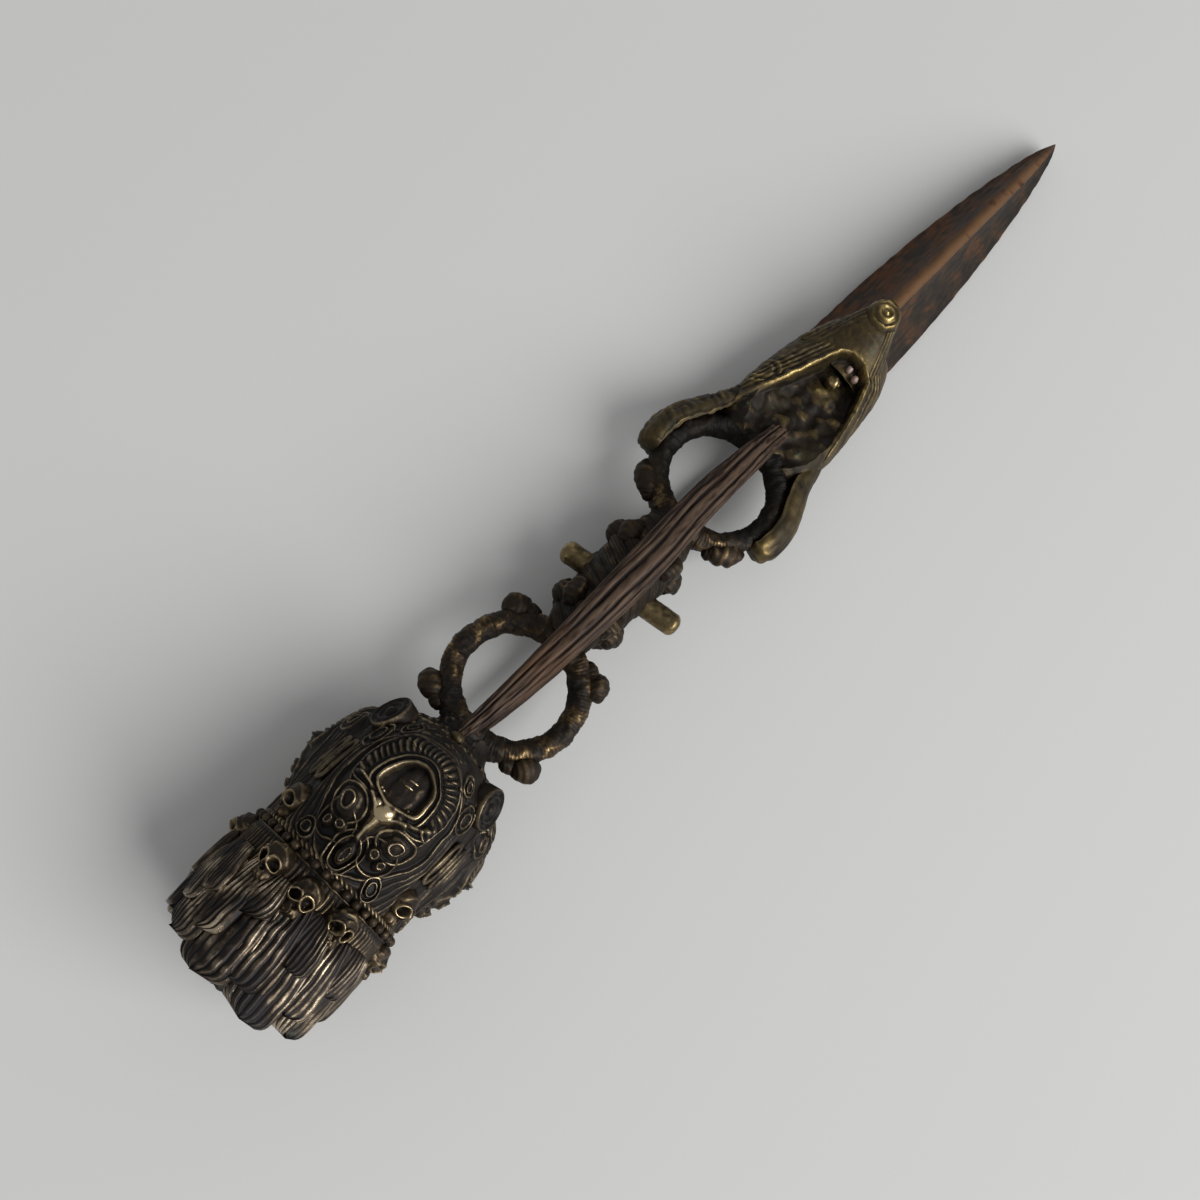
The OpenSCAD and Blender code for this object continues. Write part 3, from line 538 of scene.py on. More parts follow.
# Crown skulls: three over each face and one between faces, pressed on separately in wax.
# Each has ringed sockets cut deep, a nose pit and a row of teeth towards the hair.
p, q = grid(np.linspace(-4.3, 3.7, 64), np.linspace(-3.4, 3.4, 54))
dome = 3.2 * np.sqrt(limited(1 - ((p - 0.5) / 3.15) ** 2 - (q / 3.05) ** 2))
jaw = 2.5 * np.sqrt(limited(1 - ((p + 2.5) / 1.8) ** 2 - (q / 2.0) ** 2))
skull = np.maximum(dome, jaw)
skull = skull - 0.5 * (skull < 0.02)
for cq in (-1.32, 1.32):
    skull += rim_at(p, q, -0.5, cq, 1.18, 0.27, 0.5)
    skull -= 1.5 * limited((0.95 - np.hypot(p + 0.5, q - cq)) / 0.3)
skull -= 0.7 * limited((0.5 - np.hypot(p + 2.0, q)) / 0.25)
skull += 0.3 * np.abs(np.sin(4.2 * q)) * hill(p, -3.3, 0.5) * (np.abs(q) < 1.6)
skull += rim_at(p, q, -0.3, 0, 2.9, 0.3, 0.25) * (p > 0.4)
skull = np.stack([p, q, skull], -1)
SKULL_X, SKULL_LIE, SKULL_TURN = 20.31, 14.95, 28
LOW_SKULL_X, LOW_SKULL_LIE = 30.36, 13.8
skulls = []
for middle in (0, 120, 240):
    for j in (-1, 0, 1):
        shape = by_hand(skull, 0.14, 1.7, 31 + j + middle)
        turn = middle + SKULL_TURN * j
        skin = out_from_axis(shape, SKULL_X + abs(j) * 0.8, turn, SKULL_LIE)
        skulls.append(wax_sheet(skin, round_axis(20.3, turn, 13.5)))
    skin = out_from_axis(skull, LOW_SKULL_X, middle + 60, LOW_SKULL_LIE)
    skulls.append(wax_sheet(skin, round_axis(30.3, middle + 60, 12.0)))
cast("crown_of_skulls", skulls, crown_brass, "crown_skulls", steps=10, depth=0.2,
     rubbed=0.22)

# Hair: a crest of tongue-shaped locks in three overlapping tiers, combed in ridges and
# swept to the end, which is a shallow dish. It is cast in one with the root.
hair_brass = patina("hair brass", (0.0025, 0.0024, 0.003), (0.024, 0.0145, 0.008), (0.44, 0.36, 0.26),
                    (0.02, 0.09, 0.065), 0.66, rub=-0.03, rough=(0.45, 0.24), tint=(0.013, 0.0105, 0.0105))
u, v = grid(np.linspace(0, 1, 36), np.linspace(-1, 1, 71))


def hair_lock(angle, tip, root, low, half_w, thick, seed):
    """One lock, from its root to its rounded tip, lying at a radius low and lapping over the next."""
    rng = np.random.default_rng(seed)
    sweep, combed, slant = rng.uniform(-6, 6), int(rng.integers(4, 6)), rng.uniform(-1.0, 1.0)
    rounded = np.sqrt(np.clip(1 - limited((u - 0.8) / 0.2) ** 3, 0.0005, 1))
    width = half_w * (0.62 + 0.38 * np.sin(math.pi * limited(u / 0.85) * 0.62)) * rounded
    station = root + (tip - root) * u + slant * v * u ** 3 * rounded
    swelling = 0.35 + 0.65 * np.sin(math.pi * np.clip(u, 0, 0.9)) ** 0.6
    crown = thick * limited(1 - np.abs(v) ** 7) * swelling + 0.95 * v
    strand = math.pi * (combed * v + 0.2 * np.sin(2.5 * u + rng.uniform(0, 6)))
    combing = 0.55 * np.abs(np.sin(strand)) ** 0.8 * (0.8 + 0.2 * np.sin(5 * v + 4 * u + seed))
    combing *= limited((1 - np.abs(v)) * 4) * limited((1 - u) * 14)
    radius = low + crown - 0.2 + combing + 0.45 * np.sin(math.pi * u) + 0.7 * u ** 3
    turn = angle + sweep * u ** 1.6 + np.degrees(width * v / 16.5)
    skin = by_hand(round_axis(station, turn, radius), 0.09, 3.5, seed, (0.3, 1, 1))
    return wax_sheet(skin, round_axis(0.45 * root + 0.55 * tip, angle + sweep * 0.4, low - 2.5))


def lock_end(angle):
    """Station of the outermost tips: the crest is longer on the front and back than at the sides."""
    return 0.8 + 3.6 * np.sin(np.radians(angle)) ** 2


LOCKS_ROUND = 10
locks = []
for i in range(LOCKS_ROUND):
    even, odd = i * 360 / LOCKS_ROUND, (i + 0.5) * 360 / LOCKS_ROUND
    locks.append(hair_lock(odd, lock_end(odd), 18.6, 14.2, 6.7, 1.3, 100 + i))
    locks.append(hair_lock(even, lock_end(even) + 3.6, 20.2, 14.9, 5.6, 1.1, 200 + i))
    locks.append(hair_lock(odd, 10.9 + 1.2 * math.sin(2.3 * i), 20.5, 15.4, 4.3, 1.0, 300 + i))
# The root and its dished end: station, radius, and how far each point follows the tips
DISH = [(8.6, 0.4, 0), (7.0, 6, 0.3), (6.4, 9, 0.6), (5.6, 11.5, 0.9), (5.5, 13.5, 1), (6.6, 14.8, 1),
        (9, 15.0, 0.6), (14, 14.9, 0), (18.4, 14.8, 0)]
steps = np.linspace(0, len(DISH) - 1, 70)
station, radius, following = (np.interp(steps, range(len(DISH)), column) for column in zip(*DISH))
x, turn = grid(station, np.arange(0, 360, 1.5))
radius = radius[:, None] + 0 * x
combing = 0.3 * np.abs(np.sin(np.radians(turn) * 26 + 0.6 * np.sin(radius))) * limited((radius - 3) / 6)
with_tips = following[:, None] * (lock_end(turn) - 4.4)
locks.append(wax_roll(round_axis(x + with_tips - combing * 0.8, turn, radius + combing)))
cast("crest_of_locks", locks, hair_brass, "hair", steps=8, depth=0.1,
     rubbed=lambda points: 0.5 * uneven(points, 7.0, 33))

# Neck: a short saddle that draws the head in to the lower ring. It is cast in one with
# them, and its surface is left rough from the wax.
NECK_START, NECK_END = 56.6, 60.9
x, turn = grid(np.linspace(NECK_START, NECK_END, 30), np.arange(0, 360, 2.0))
s = (x - NECK_START) / (NECK_END - NECK_START)
neck = round_axis(x, turn, 8.2 - 2.6 * s - 0.6 * np.sin(math.pi * s))
neck = by_hand(neck, 0.18, 1.5, 12, (0.2, 1, 1))
cast("neck_saddle", [wax_roll(neck)], head_brass, "neck_collar", steps=8)

# Rings: two round hoops of the openwork, cast with the knot between them. The wax rope
# they were bent from left fine cross ridges, deepest on the outer side.
ring_brass = patina("ring brass", (0.005, 0.0038, 0.0026), (0.025, 0.0155, 0.008), (0.36, 0.25, 0.125),
                    (0.02, 0.06, 0.025), 0.66, rub=-0.08, rough=(0.58, 0.33), tint=(0.015, 0.009, 0.005))
LOWER_X, LOWER_R = 73.5, 12.6
UPPER_X, UPPER_R = 134.9, 13.2
hoop_sizes = ["Reach", "Thickness", "Ridges", "Depth", "Station", "Swell"]
hoop, given, add, calc, close = tree_of("ridged hoop", hoop_sizes)
circle = add("GeometryNodeCurvePrimitiveCircle", Resolution=560, Radius=given["Reach"])["Curve"]
rope = add("GeometryNodeCurvePrimitiveCircle", Resolution=40, Radius=given["Thickness"])["Curve"]
tube = add("GeometryNodeCurveToMesh", circle, rope)["Mesh"]
place = add("GeometryNodeInputPosition")["Position"]
axes = add("ShaderNodeSeparateXYZ", place)
bearing = calc("ARCTAN2", axes["Y"], axes["X"])
wander = add("ShaderNodeTexNoise", Vector=place, Scale=0.45, Detail=3.0)["Fac"]
turned = calc("MULTIPLY_ADD", wander, 9.0, calc("MULTIPLY", bearing, given["Ridges"]))
wave = calc("MULTIPLY", calc("SINE", turned), given["Depth"])
far = add("ShaderNodeVectorMath", place, operation="LENGTH")["Value"]
outer = add("ShaderNodeMapRange", far, 10.5, 15.0, 0.25, 1.0)["Result"]
ends = calc("POWER", calc("ABSOLUTE", calc("COSINE", bearing)), 6.0)
lump = calc("MULTIPLY_ADD", wander, 1.5, -0.75)
lump = calc("MULTIPLY_ADD", ends, given["Swell"], lump)
lift = calc("MULTIPLY_ADD", wave, outer, lump)
outward = add("GeometryNodeInputNormal")["Normal"]
move = add("ShaderNodeVectorMath", outward, Scale=lift, operation="SCALE")["Vector"]
tube = add("GeometryNodeSetPosition", Geometry=tube, Offset=move)["Geometry"]
spot = add("ShaderNodeCombineXYZ", given["Station"])["Vector"]
tube = add("GeometryNodeTransform", Geometry=tube, Translation=spot)["Geometry"]
close(tube, ring_brass)
lower = grow(hoop, "lower_hoop", Reach=LOWER_R, Thickness=2.3, Station=LOWER_X, Ridges=120, Depth=0.03,
             Swell=0.5)
# The lower hoop gets uneven wear, and painted shade on its side towards the neck.
lay_down("lower_hoop", lower, "lower_ring", steps=10, depth=0.22,
         rubbed=lambda points: 0.5 * uneven(points, 5.0, 35) - 0.4 * limited((66 - points[:, 0]) / 5))
upper = grow(hoop, "upper_hoop", Reach=UPPER_R, Thickness=2.35, Station=UPPER_X, Ridges=126, Depth=0.03,
             Swell=0.6)
# Painted shade darkens the upper hoop's side towards the makara, where it runs under the jaw petals.
lay_down("upper_hoop", upper, "upper_ring", steps=10, depth=0.22,
         rubbed=lambda points: -1.1 * limited((points[:, 0] - 124) / 8))


# Knobs: small rolled scrolls of wax set on the rings' outer sides, in pairs of one large
# and one small, with the turns of the roll left as lines.
def scroll(centre, toward, radius, stretch, turns, seed):
    """A small roll of wax laid across the way it points, with the lines of its turns."""
    centre, toward = np.asarray(centre, float), np.asarray(toward, float)
    toward = toward / np.linalg.norm(toward)
    side = np.cross(toward, (0.3, 0.1, 1.0) if abs(toward[2]) < 0.9 else (1.0, 0.2, 0))
    side /= np.linalg.norm(side)
    third = np.cross(toward, side)
    lat, lon = grid(np.linspace(0.03, math.pi - 0.03, 44), all_round(56))
    lines = np.abs(np.sin(turns * lat + 1.2 * np.sin(lon + seed))) ** 0.8 * np.sin(lat) ** 0.3
    r = radius * (0.94 + 0.05 * lines)
    rings = centre + (r * np.cos(lat))[..., None] * side * stretch
    rings = rings + (r * np.sin(lat) * np.cos(lon))[..., None] * toward
    rings = rings + (r * np.sin(lat) * np.sin(lon))[..., None] * third * 0.9
    return wax_roll(by_hand(rings, 0.07 * radius, radius * 1.3, seed))


def ring_scrolls(x, radius, angles, seed, leaf=1.0):
    """A large and a small scroll at each angle round a ring; leaf draws the large ones out."""
    made = []
    for k, angle in enumerate(angles):
        lean = 11 if math.sin(math.radians(2 * angle)) < 0 else -11
        for a, r, out, stretch in ((angle, 2.75, 3.2 / leaf, 1.15 * leaf), (angle + lean, 1.75, 2.4, 1.3)):
            way = np.array([math.cos(math.radians(a)), math.sin(math.radians(a)), 0])
            middle = np.array([x, 0, 0]) + way * (radius + out)
            made.append(scroll(middle, way, r, stretch, 6.5, seed + k))
    return made


cast("lower_ring_scrolls", ring_scrolls(LOWER_X, LOWER_R, (43, 133, -45, -129), 40), ring_brass,
     "lower_ring_knobs", steps=8, depth=0.14)
cast("upper_ring_scrolls", ring_scrolls(UPPER_X, UPPER_R, (133, -133), 50, 1.45), ring_brass,
     "upper_ring_knobs", steps=8, depth=0.14)

# Knot: a swelling core between the rings, wound with rolled lobes at each end. The
# wound strands left close lines that run slantwise round it.
KNOT_X, KNOT_R = [86.2, 92.4, 102.8, 111.4, 117.4, 121.6], [4.5, 6.1, 7.1, 7.3, 6.1, 4.8]
x, turn = grid(np.linspace(KNOT_X[0], KNOT_X[-1], 170), np.arange(0, 360, 1.2))
slant = np.radians(turn) * 4 + (x - 102.8) * 1.15 + 0.8 * np.sin(x / 3.1)
wound = 0.5 * np.abs(np.sin(slant)) ** 0.7 + 0.16 * np.abs(np.sin(4 * slant + 0.5 * np.sin(x)))
wound *= 0.4 + 0.6 * np.cos(np.clip((x - 103) / 16, -1, 1) * math.pi / 2)
rings = round_axis(x, turn, np.interp(x, KNOT_X, KNOT_R) - 0.15 + wound)
rings = by_hand(rings, 0.25, 4.0, 15, (0, 1, 1))
cast("knot_core_wound", [wax_roll(rings)], ring_brass, "knot_core", steps=10, depth=0.16)
LOW_LOBES, HIGH_LOBES = (94.3, 5.8, 2.9), (111.2, 6.6, 2.95)
lobes = []
for k, angle in enumerate((48, 90, 132, 228, 270, 312)):
    a = math.radians(angle)
    for x, out, r in (LOW_LOBES, HIGH_LOBES):
        way = np.array([0.15, -math.sin(a), math.cos(a)])
        lobes.append(scroll(round_axis(x, angle, out), way, r, 1.2, 7.0, 60 + k))
cast("knot_lobes_rolled", lobes, ring_brass, "knot_lobes", steps=8, depth=0.14)

# Cross rod: a plain round bar through the knot, a little skewed. Its two rounded ends
# stand out as pegs, rubbed brighter than the knot.
peg_brass = patina("peg brass", (0.01, 0.0075, 0.004), (0.04, 0.028, 0.013), (0.42, 0.31, 0.15),
                   (0.04, 0.055, 0.03), 0.74, rub=0.02, rough=(0.5, 0.28))
ROD_MIDDLE, ROD_SKEW = np.array([102.815, -1, 0]), math.radians(10)
PEG_END, PEG_R = [12.7, 13.2, 13.6, 13.9, 14], [2.4, 2.15, 1.7, 1.1, 0.3]
d = np.unique([*PEG_END, *np.negative(PEG_END), *np.linspace(-PEG_END[0], PEG_END[0], 90)])
d, t = grid(d, all_round(48))
r = np.interp(np.abs(d), PEG_END, PEG_R)
along = np.array([math.sin(ROD_SKEW), -math.cos(ROD_SKEW), 0])
across = np.array([math.cos(ROD_SKEW), math.sin(ROD_SKEW), 0])
rings = ROD_MIDDLE + d[..., None] * along + (r * np.cos(t))[..., None] * across
rings = rings + (r * np.sin(t))[..., None] * np.array([0, 0, 1])
rings = by_hand(rings, 0.035, 1.6, 21)
cast("cross_rod_pegs", [wax_roll(rings)], peg_brass, "cross_rod", steps=8, depth=0.08)


# Bars: two wrought iron bars bowed over the knot on the front and back, drawn to a point
# at the neck. The forging left long fibres and two deep grooves with rust in them.
def rusted(name, colours, stretch, seam, amber=0.0):
    """Old iron: brown-red rust in long fibres, darker scale, and bare rubbed places."""
    m = Finish(name)
    fibre = m.add("Mapping", {"Vector": m.place, "Scale": (1 / stretch, 1, 1)}).outputs["Vector"]
    grain, patch = m.noise(900, 6, 0.62, fibre), m.noise(130, 4, 0.6)
    tone = m.calc("MULTIPLY_ADD", m.calc("SUBTRACT", grain, 0.5), 0.85, 0.5)
    tone = m.calc("MULTIPLY_ADD", m.calc("SUBTRACT", patch, 0.5), 1.1, tone)
    tone = m.calc("MULTIPLY_ADD", m.relief, seam, tone, clamp=True)
    rust = m.graded(tone, list(zip((0.12, 0.34, 0.56, 0.92), colours)))
    spots = m.calc("SUBTRACT", m.noise(170, 3, vector=fibre), 0.61)
    spots = m.calc("MULTIPLY", spots, 9 * amber, clamp=True)
    stained = m.mixed(spots, rust, (0.13, 0.055, 0.013))
    roughness = m.calc("MULTIPLY_ADD", patch, 0.35, 0.42)
    height = m.calc("MULTIPLY_ADD", m.noise(2600, 4), 0.5, grain)
    return m.close(stained, roughness, 0.25, height, 0.55, 0.00016)


def smooth_through(rows, count):
    """Smooth curve through rows of numbers, with that many points on it."""
    rows = np.asarray(rows, float)
    u = np.linspace(0, len(rows) - 1, count)
    i = np.clip(u.astype(int), 0, len(rows) - 2)
    f = (u - i)[:, None]
    a, b, c, d = (rows[np.clip(i + k, 0, len(rows) - 1)] for k in (-1, 0, 1, 2))
    return b + f * 0.5 * ((c - a) + f * ((2 * a - 5 * b + 4 * c - d) + f * (3 * (b - c) + d - a)))


bar_iron = rusted("bar iron", [(0.003, 0.0014, 0.0009), (0.0135, 0.006, 0.0034), (0.026, 0.0135, 0.0075),
                               (0.08, 0.05, 0.032)], 7.0, 0.5, amber=0.3)
# Each row: station, side, height, half width and half thickness; each groove: where, width, depth
BAR_ROWS = [(57.8, 0.74, 8.3, 1.3, 0.8), (71.2, -0.6, 9.4, 2.4, 1.5), (86.85, -1.2, 9.0, 3.2, 2.0),
            (102.8, -1.3, 9.4, 3.7, 2.2), (124.9, -0.6, 8.6, 3.4, 2.0), (138.9, -1.0, 7.0, 2.9, 1.8),
            (152.6, -1.8, 4.8, 2.1, 1.3)]
GROOVES = ((0.3, 0.09, 0.36), (-0.4, 0.07, 0.22), (-0.75, 0.05, 0.08), (0.7, 0.05, 0.08))
BAR_START, BAR_END = 57.3, 153.1
t = all_round(84)
across = np.sign(np.cos(t)) * np.abs(np.cos(t)) ** 0.8
up = np.sign(np.sin(t)) * np.abs(np.sin(t)) ** 0.75
x, side, height, half_w, half_h = smooth_through(BAR_ROWS, 220).T[..., None]
end = np.clip(np.minimum((x - BAR_START) / 3.0, (BAR_END - x) / 2.4), 0.03, 1) ** 0.5
for bar_name, node, flip, seed in (("bowed_bar_front", "bar_front", 1, 71),
                                   ("bowed_bar_back", "bar_back", -1, 72)):
    waver = 0.1 * np.sin(x / 13 + seed) + 0.04 * np.sin(x / 3.7)
    z = up * half_h * end
    for centre, width, depth in GROOVES:
        cut = depth * half_h * hill(across * end - waver, centre, width)
        z -= np.where(z > 0, cut, 0)
    rings = np.stack([x + 0 * z, side + across * half_w * end, height + z], -1)
    drawn_out = rings * np.array([0.09, 1, 1])
    fibres = 0.1 * uneven(drawn_out, 1.0, seed) + 0.05 * uneven(drawn_out * 2.2, 1.0, seed + 5)
    rings = rings + fibres[..., None] * np.array([0, 0.5, 1])
    rings[..., 2] *= flip
    cast(bar_name, [wax_roll(rings)], bar_iron, node, depth=0.16)

# Bar toes: a small drop of golden brass on the lower end of each bar. It is cast over the
# iron and holds it on the neck.
toes = [scroll((BAR_START, 0.74, flip * 8.4), (0, 0, flip), 1.25, 1.1, 3.0, 80) for flip in (1, -1)]
cast("bar_toe_drops", toes, peg_brass, "bar_toes", steps=4, depth=0.1)

# Makara: a water monster's head that swallows the blade, its mouth open on the front and
# back from the muzzle down to the ring. Chased lines follow the thin edge of the lips.
makara_brass = patina("makara brass", (0.008, 0.005, 0.0025), (0.072, 0.05, 0.021), (0.5, 0.37, 0.15),
                      (0.04, 0.1, 0.06), 0.64, rub=0.04, rough=(0.55, 0.31), tint=(0.036, 0.027, 0.012))
MOUTH = [(140, 11.5), (152, 9.3), (158, 6.6), (164, 4.3), (170, 2.4), (174, 1.0), (175.6, -1.0),
         (175.6, -4.4), (173.6, -7.6), (167, -9.9), (157, -12.0), (148, -14.2), (140, -16.4)]
EYE_X, EYE_Y = 160, 10.5


def from_mouth(x, y):
    """Distance from the mouth's edge, more than 0 outside it."""
    nearest, inside = np.full(np.shape(x), 99.0), np.zeros(np.shape(x), bool)
    for (ax, ay), (bx, by) in zip(MOUTH, MOUTH[1:] + MOUTH[:1]):
        t = limited(((x - ax) * (bx - ax) + (y - ay) * (by - ay)) / ((bx - ax) ** 2 + (by - ay) ** 2))
        nearest = np.minimum(nearest, np.hypot(x - ax - t * (bx - ax), y - ay - t * (by - ay)))
        inside ^= ((ay > y) != (by > y)) & (x < (bx - ax) * (y - ay) / (by - ay + 1e-9) + ax)
    return np.where(inside, -nearest, nearest)


def throat_shade_and_wear(points):
    """Painted shade down in the mouth, in uneven patches, but for the worn swelling behind the ball, and no
    change outside it.
    """
    x, y = points[:, 0], points[:, 1]
    swelling = 0.8 * hill(x, 167, 4) * hill(y, -2.2, 3)
    return limited(-from_mouth(x, y) / 1.2) * (0.5 * uneven(points, 4.0, 37) - 0.75 + swelling)


# Each row: station, side, half width and half height
MAKARA_ROWS = [(146.4, -0.8, 9.8, 4.3), (151.1, -0.9, 12.1, 6.0), (158.1, -1.0, 12.9, 7.5),
               (168.1, -1.0, 12.2, 8.1), (175.6, -1.2, 11.2, 8.1), (181.1, -1.1, 9.7, 7.1),
               (184.2, -0.9, 8.4, 5.8)]
station, side, half_w, half_h = smooth_through(MAKARA_ROWS, 210).T[..., None]
t = np.radians(np.arange(0, 360, 0.9))
x = station + 0 * t
y = side + half_w * np.cos(t)
z = half_h * np.sin(t)
edge = from_mouth(x, y)
floor_z = 2.2 + 0.03 * (y + 2.5) ** 2 + 0.45 * uneven(np.stack([x, 1.4 * y, 0 * x], -1), 5.5, 88)
floor_z += 2.0 * hill(x, 153, 5) * hill(y, -1, 2.4) + 1.5 * hill(x, 167, 4) * hill(y, -2.2, 3.2)
open_in = limited(-edge / 0.8)
open_in = open_in * open_in * (3 - 2 * open_in)
height = np.abs(z)
height = height * (1 - open_in) + np.minimum(floor_z, height) * open_in
lip_line = 0.75 * hill(edge, 0.55, 0.5)
chased = 0.2 * np.cos(2 * math.pi * edge / 1.05)
chased *= limited(edge - 1.2) * limited((6.2 - edge) / 2)
from_eye = np.hypot(x - EYE_X, y - EYE_Y)
curl = 0.5 * hill(from_eye, 3.4, 0.4) + 0.45 * hill(from_eye, 1.9, 0.4)
height += np.where(height > 1.2, lip_line + chased + curl * (edge > 1.5), 0)
rings = np.stack([x, y, np.where(z < 0, -height, height)], -1)
rings = by_hand(rings, 0.12, 2.4, 90, (0, 0.6, 1))
# The inside of the open mouth is darkened with painted shade.
cast("makara_body", [wax_roll(rings)], makara_brass, "makara_head", steps=12, depth=0.2,
     rubbed=throat_shade_and_wear)

# Jaw flaps: the upper lip on the left and the lower lip on the right run on past the
# throat as long petals round the ring, grooved along their backs and hollow inside.
JAW_LEFT = [(160, 8.6, 1.4), (153, 9.9, 2.7), (147.4, 11.2, 3.6), (142.8, 13.0, 4.1), (137.6, 15.1, 4.2),
            (132.6, 15.4, 3.9), (129.4, 14.9, 3.3)]
JAW_RIGHT = [(160, -11.2, 1.4), (153, -11.5, 2.6), (147.4, -11.8, 3.6), (142.8, -13.2, 4.1),
             (137.6, -15.1, 4.1), (132.6, -15.4, 3.9), (129.0, -14.5, 3.4)]
for jaw_name, node, path, seed in (("jaw_petal_left", "jaw_left", JAW_LEFT, 95),
                                   ("jaw_petal_right", "jaw_right", JAW_RIGHT, 96)):
    rows = smooth_through(path, 130)
    middle, half_thick = rows[:, :2], rows[:, 2:3]
    flip = np.sign(middle[0, 1])
    ahead = np.gradient(middle, axis=0)
    ahead /= np.linalg.norm(ahead, axis=1)[:, None]
    outward = np.stack([-ahead[:, 1], ahead[:, 0]], -1) * -flip
    s, t = grid(np.linspace(0, 1, 130), all_round(120))
    thick = half_thick * np.sqrt(np.clip(1 - limited((s - 0.9) / 0.1) ** 2.5, 0.002, 1))
    groove = 0.98 + 0.05 * np.abs(np.sin(t * 5 + 1.4 * np.sin(3 * s))) * (np.cos(t) > -0.3)
    out = np.cos(t) * thick * groove * np.where(np.cos(t) > 0, 1.0, 0.8)
    rise = np.sin(t) * thick * groove * (1.0 if flip > 0 else 0.9)
    hollow = -0.32 + 0.6 * limited(1 - (rise / (thick * 0.9)) ** 2)
    out = np.where(np.cos(t) < -0.1, np.maximum(out, hollow * thick), out)
    rings = np.concatenate([middle[:, None] + out[..., None] * outward[:, None], rise[..., None]], -1)
    rings = by_hand(rings, 0.12, 2.2, seed)
    cast(jaw_name, [wax_roll(rings)], makara_brass, node, steps=12, depth=0.2,
         rubbed=lambda points: -0.3 + 0.4 * uneven(points, 6.0, 34))

# Snouts: on each side a hood draws together from the mouth's corner over the blade's
# root, edged with four fine ridges, and ends in a boss of concentric rings.
HOOD_START = 172.5
FRONT_CREST = [(171, 7.4), (175.6, 8.9), (180, 11.3), (186, 12.4), (190.4, 11.6)]
BACK_CREST = [(171, 7.0), (175.6, 7.6), (180, 7.0), (186, 6.3), (189.6, 5.0)]


def boss_wear(points, middle):
    """Extra rubbing on the boss, fading away round it."""
    return 0.75 * limited(1.6 - np.hypot(points[:, 0] - middle, points[:, 1]) / 3.0)


for snout_name, node, flip, crest, boss_r in (("snout_hood_front", "snout_front", 1, FRONT_CREST, 4.1),
                                              ("snout_hood_back", "snout_back", -1, BACK_CREST, 3.2)):
    end = crest[-1][0]
    s, v = grid(np.linspace(0, 1, 110), np.linspace(-1, 1, 110))
    x = HOOD_START + (end - HOOD_START) * s
    boss_x = end - boss_r - 0.3
    round_end = np.sqrt(np.clip((boss_r + 0.5) ** 2 - (x - boss_x) ** 2, 0.1, None))
    half_w = np.interp(x, [HOOD_START, 178, 182, boss_x], [11.0, 8.9, 7.0, boss_r + 0.5])
    half_w = np.where(x > boss_x, round_end, half_w)
    y = -0.8 * (1 - s) + half_w * v
    top = np.interp(x, *zip(*crest))
    side_z = np.interp(x, [HOOD_START, 178, 184, end], [3.6, 4.2, top.max() * 0.5, top.max() * 0.62])
    arched = np.interp(x, [HOOD_START, 181, boss_x], [1.7, 2.4, 6])
    z = side_z + (top - side_z) * limited(1 - np.abs(v) ** arched)
    d = np.hypot(x - boss_x, y)
    rounds = 0.8 * np.sqrt(limited(1 - (d / boss_r) ** 2))
    rounds += 0.26 * np.cos(d / boss_r * 5 * math.pi) * (d < boss_r)
    from_side = half_w * (1 - np.abs(v))
    lines = 0.26 * np.abs(np.sin(math.pi * from_side / 0.95)) * (from_side < 3.8) * (d > boss_r)
    cut_back = 3.0 * limited((0.2 - from_mouth(x, y)) / 0.8)
    skin = by_hand(np.stack([x, y, flip * (z + rounds + lines - cut_back)], -1), 0.07, 1.8, 97)
    cast(snout_name, [wax_sheet(skin, (180, -0.5, flip * 2.5))], makara_brass, node,
         depth=0.2, rubbed=lambda points: boss_wear(points, end - 4.4))

# Teeth and tongue balls: two blunt teeth stand in the mouth's corner on each side, with
# traces of pale paint, and a ball of polished brass lies in the corner before them.
tooth_paint = patina("tooth paint", (0.16, 0.1, 0.08), (0.5, 0.38, 0.33), (0.62, 0.5, 0.44),
                     (0.3, 0.22, 0.16), 0.62, rough=(0.6, 0.45))
teeth, balls = [], []
for flip in (1, -1):
    teeth.append(scroll((173.2, -5.2, flip * 5.6), (0.2, 0, flip), 1.0, 0.8, 1.0, 101))
    teeth.append(scroll((174.1, -2.9, flip * 5.7), (0.2, 0, flip), 0.95, 0.8, 1.0, 102))
    balls.append(scroll((169.3, -2.3, flip * 4.6), (0, 0, flip), 1.8, 1.0, 4.0, 103))
cast("makara_teeth_pair", teeth, tooth_paint, "makara_teeth", steps=4)
cast("mouth_corner_balls", balls, peg_brass, "mouth_pearls", steps=4, rubbed=0.6)

# Blade: forged iron with three fins and hollow faces between them, let into the makara's
# mouth by a tang. Rust covers the faces; the front ridge is rubbed smooth and pale.
blade_iron = rusted("blade iron", [(0.007, 0.0048, 0.003), (0.024, 0.0145, 0.008), (0.078, 0.029, 0.0085),
                                   (0.122, 0.062, 0.027)], 3.0, 0.25)
BLADE_START, BLADE_LONG, BLADE_REACH = 180.1, 90, 10.9
EDGE_FLATS, HOLLOWED = (2.6, 1.1, 1.1), 0.16
s = np.linspace(0, 1, 240)
reach = BLADE_REACH * np.clip(1 - s ** 2, 0.0006, 1) ** 0.75


def fin_corner(fin, side):
    """A corner of a fin's flattened edge, in each section of the blade."""
    a = math.radians(THIRD_TURN * fin)
    flat = np.minimum(EDGE_FLATS[fin % 3], reach * 0.5)
    outward, across = np.array([-math.sin(a), math.cos(a)]), np.array([math.cos(a), math.sin(a)])
    return reach[:, None] * outward + side * flat[:, None] / 2 * across


def blade_wear(points):
    """Bare iron on the front ridge until near the tip, and darker rust to the right of it."""
    x, y, z = points.T
    ridge = (z > 0) & (np.abs(y) < np.minimum(1.36, 0.27 * z))
    return np.where(ridge, 1.6 - 2.2 * limited((x - 255) / 12), np.where(y > 0, -0.1, -0.8))


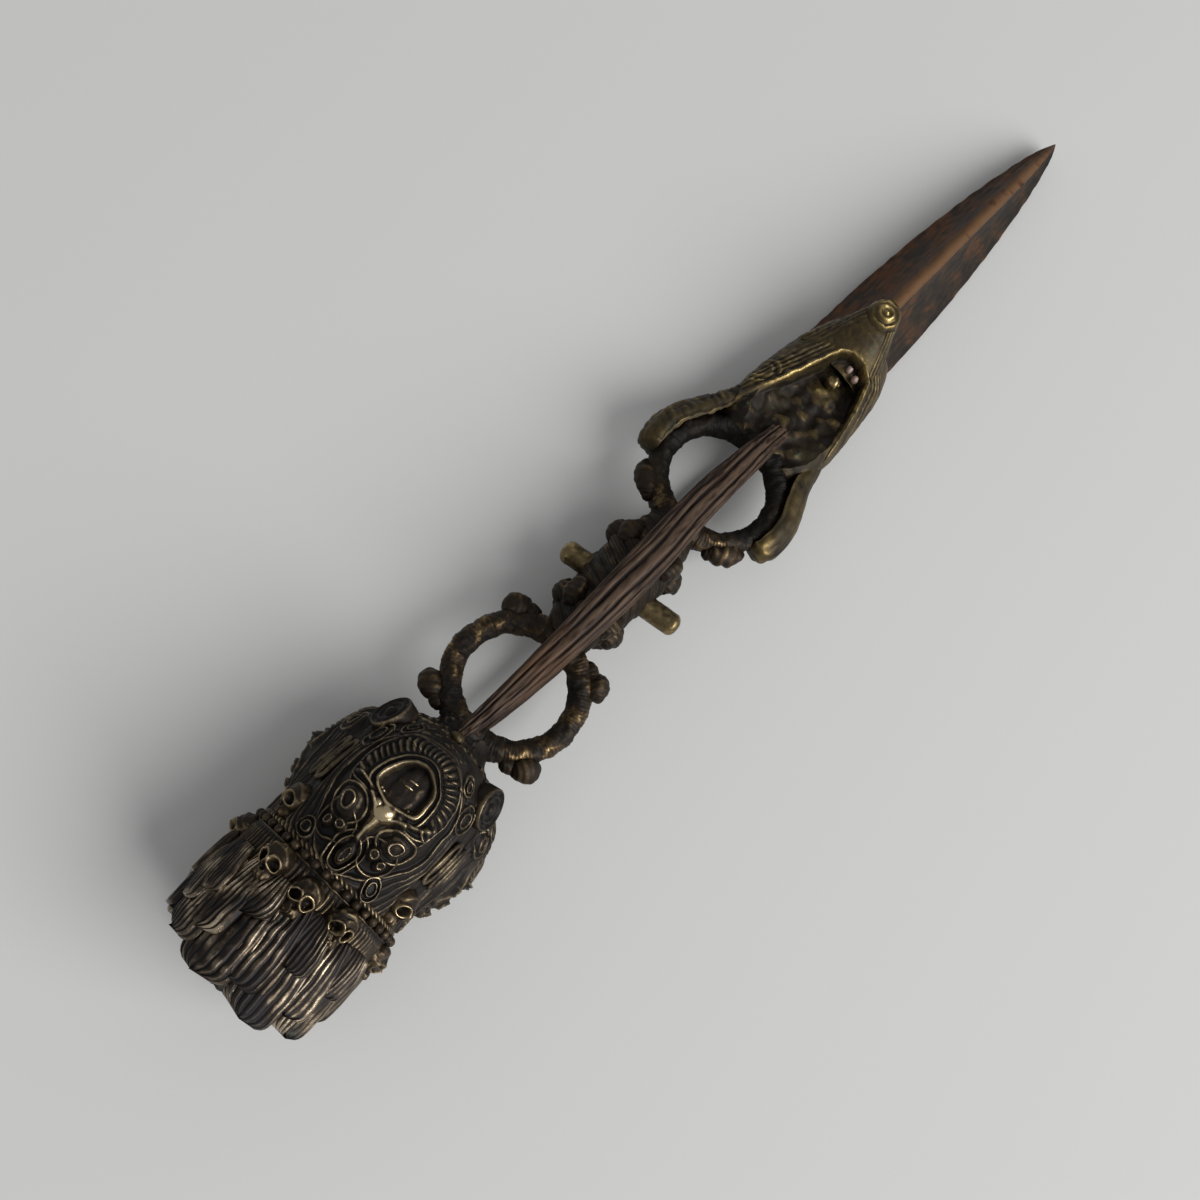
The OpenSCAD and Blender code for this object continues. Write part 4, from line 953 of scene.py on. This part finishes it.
outline = []
for fin in range(3):
    start, stop, m = fin_corner(fin, -1), fin_corner(fin + 1, 1), math.radians(THIRD_TURN * (fin + 0.5))
    valley = HOLLOWED * reach[:, None] * np.array([-math.sin(m), math.cos(m)])
    for t in (0, 0.012, 0.04, *np.linspace(0.08, 0.92, 26), 0.96, 0.988, 1):
        outline.append((1 - t) ** 2 * start + 2 * t * (1 - t) * valley + t * t * stop)
outline = np.stack(outline, 1)
x = np.broadcast_to((BLADE_START + BLADE_LONG * s)[:, None, None], outline.shape[:2] + (1,))
rings = np.concatenate([x, outline], -1)
rings = rings + 0.08 * uneven(rings * np.array([0.35, 1, 1]), 1.6, 110)[..., None] * np.array([0, 1, 1])
cast("three_edged_blade", [wax_roll(rings)], blade_iron, "blade", steps=6, depth=0.2,
     rubbed=blade_wear)

# Floor and light: a plain pale floor under one large soft lamp from the dagger's right
# side, with a pale room round it. None of it belongs to the object.
floor_grey = bpy.data.materials.new("floor grey")
floor_grey.use_nodes = True
surface = floor_grey.node_tree.nodes["Principled BSDF"]
surface.inputs["Base Color"].default_value = (0.52, 0.52, 0.51, 1)
surface.inputs["Roughness"].default_value = 0.9
floor_mesh = bpy.data.meshes.new("floor")
floor_mesh.from_pydata([(-3, -3, 0), (3, -3, 0), (3, 3, 0), (-3, 3, 0)], [], [(0, 1, 2, 3)])
floor_mesh.materials.append(floor_grey)
floor = bpy.data.objects.new("floor", floor_mesh)
bpy.context.scene.collection.objects.link(floor)
lamp = bpy.data.lights.new("large soft lamp", "AREA")
lamp.shape, lamp.size, lamp.energy = "DISK", 1.7, 46.0
lamp_place = Vector((0.12, -1.49, 1.25))
lamp_object = bpy.data.objects.new("large soft lamp", lamp)
lamp_object.location = lamp_place
lamp_object.rotation_euler = (-lamp_place).to_track_quat("-Z", "Y").to_euler()
bpy.context.scene.collection.objects.link(lamp_object)
world = bpy.data.worlds.new("pale room")
world.use_nodes = True
room, room_tree = world.node_tree.nodes["Background"], world.node_tree
room.inputs["Color"].default_value = (0.86, 0.87, 0.88, 1)
seen = room_tree.nodes.new("ShaderNodeMath")
seen.operation = "MULTIPLY_ADD"
room_tree.links.new(room_tree.nodes.new("ShaderNodeLightPath").outputs["Is Camera Ray"], seen.inputs[0])
seen.inputs[1].default_value, seen.inputs[2].default_value = 0.3, 0.5
room_tree.links.new(seen.outputs[0], room.inputs["Strength"])
bpy.context.scene.world = world
bpy.context.scene.view_settings.view_transform = "Standard"

# Camera: above the hair end, a little to the right of the blade's line, as the
# photograph was taken.
camera = bpy.data.cameras.new("photo camera")
camera.lens, camera.sensor_width, camera.clip_start = 33.81, 36, 0.01
camera_object = bpy.data.objects.new("photo camera", camera)
turned = Matrix(((0.67467, 0.67732, -0.29336), (-0.71146, 0.70259, -0.01405), (0.1966, 0.21819, 0.9559)))
camera_object.matrix_world = Matrix.Translation((-0.10224, -0.00291, 0.22611)) @ turned.to_4x4()
bpy.context.scene.collection.objects.link(camera_object)
bpy.context.scene.camera = camera_object
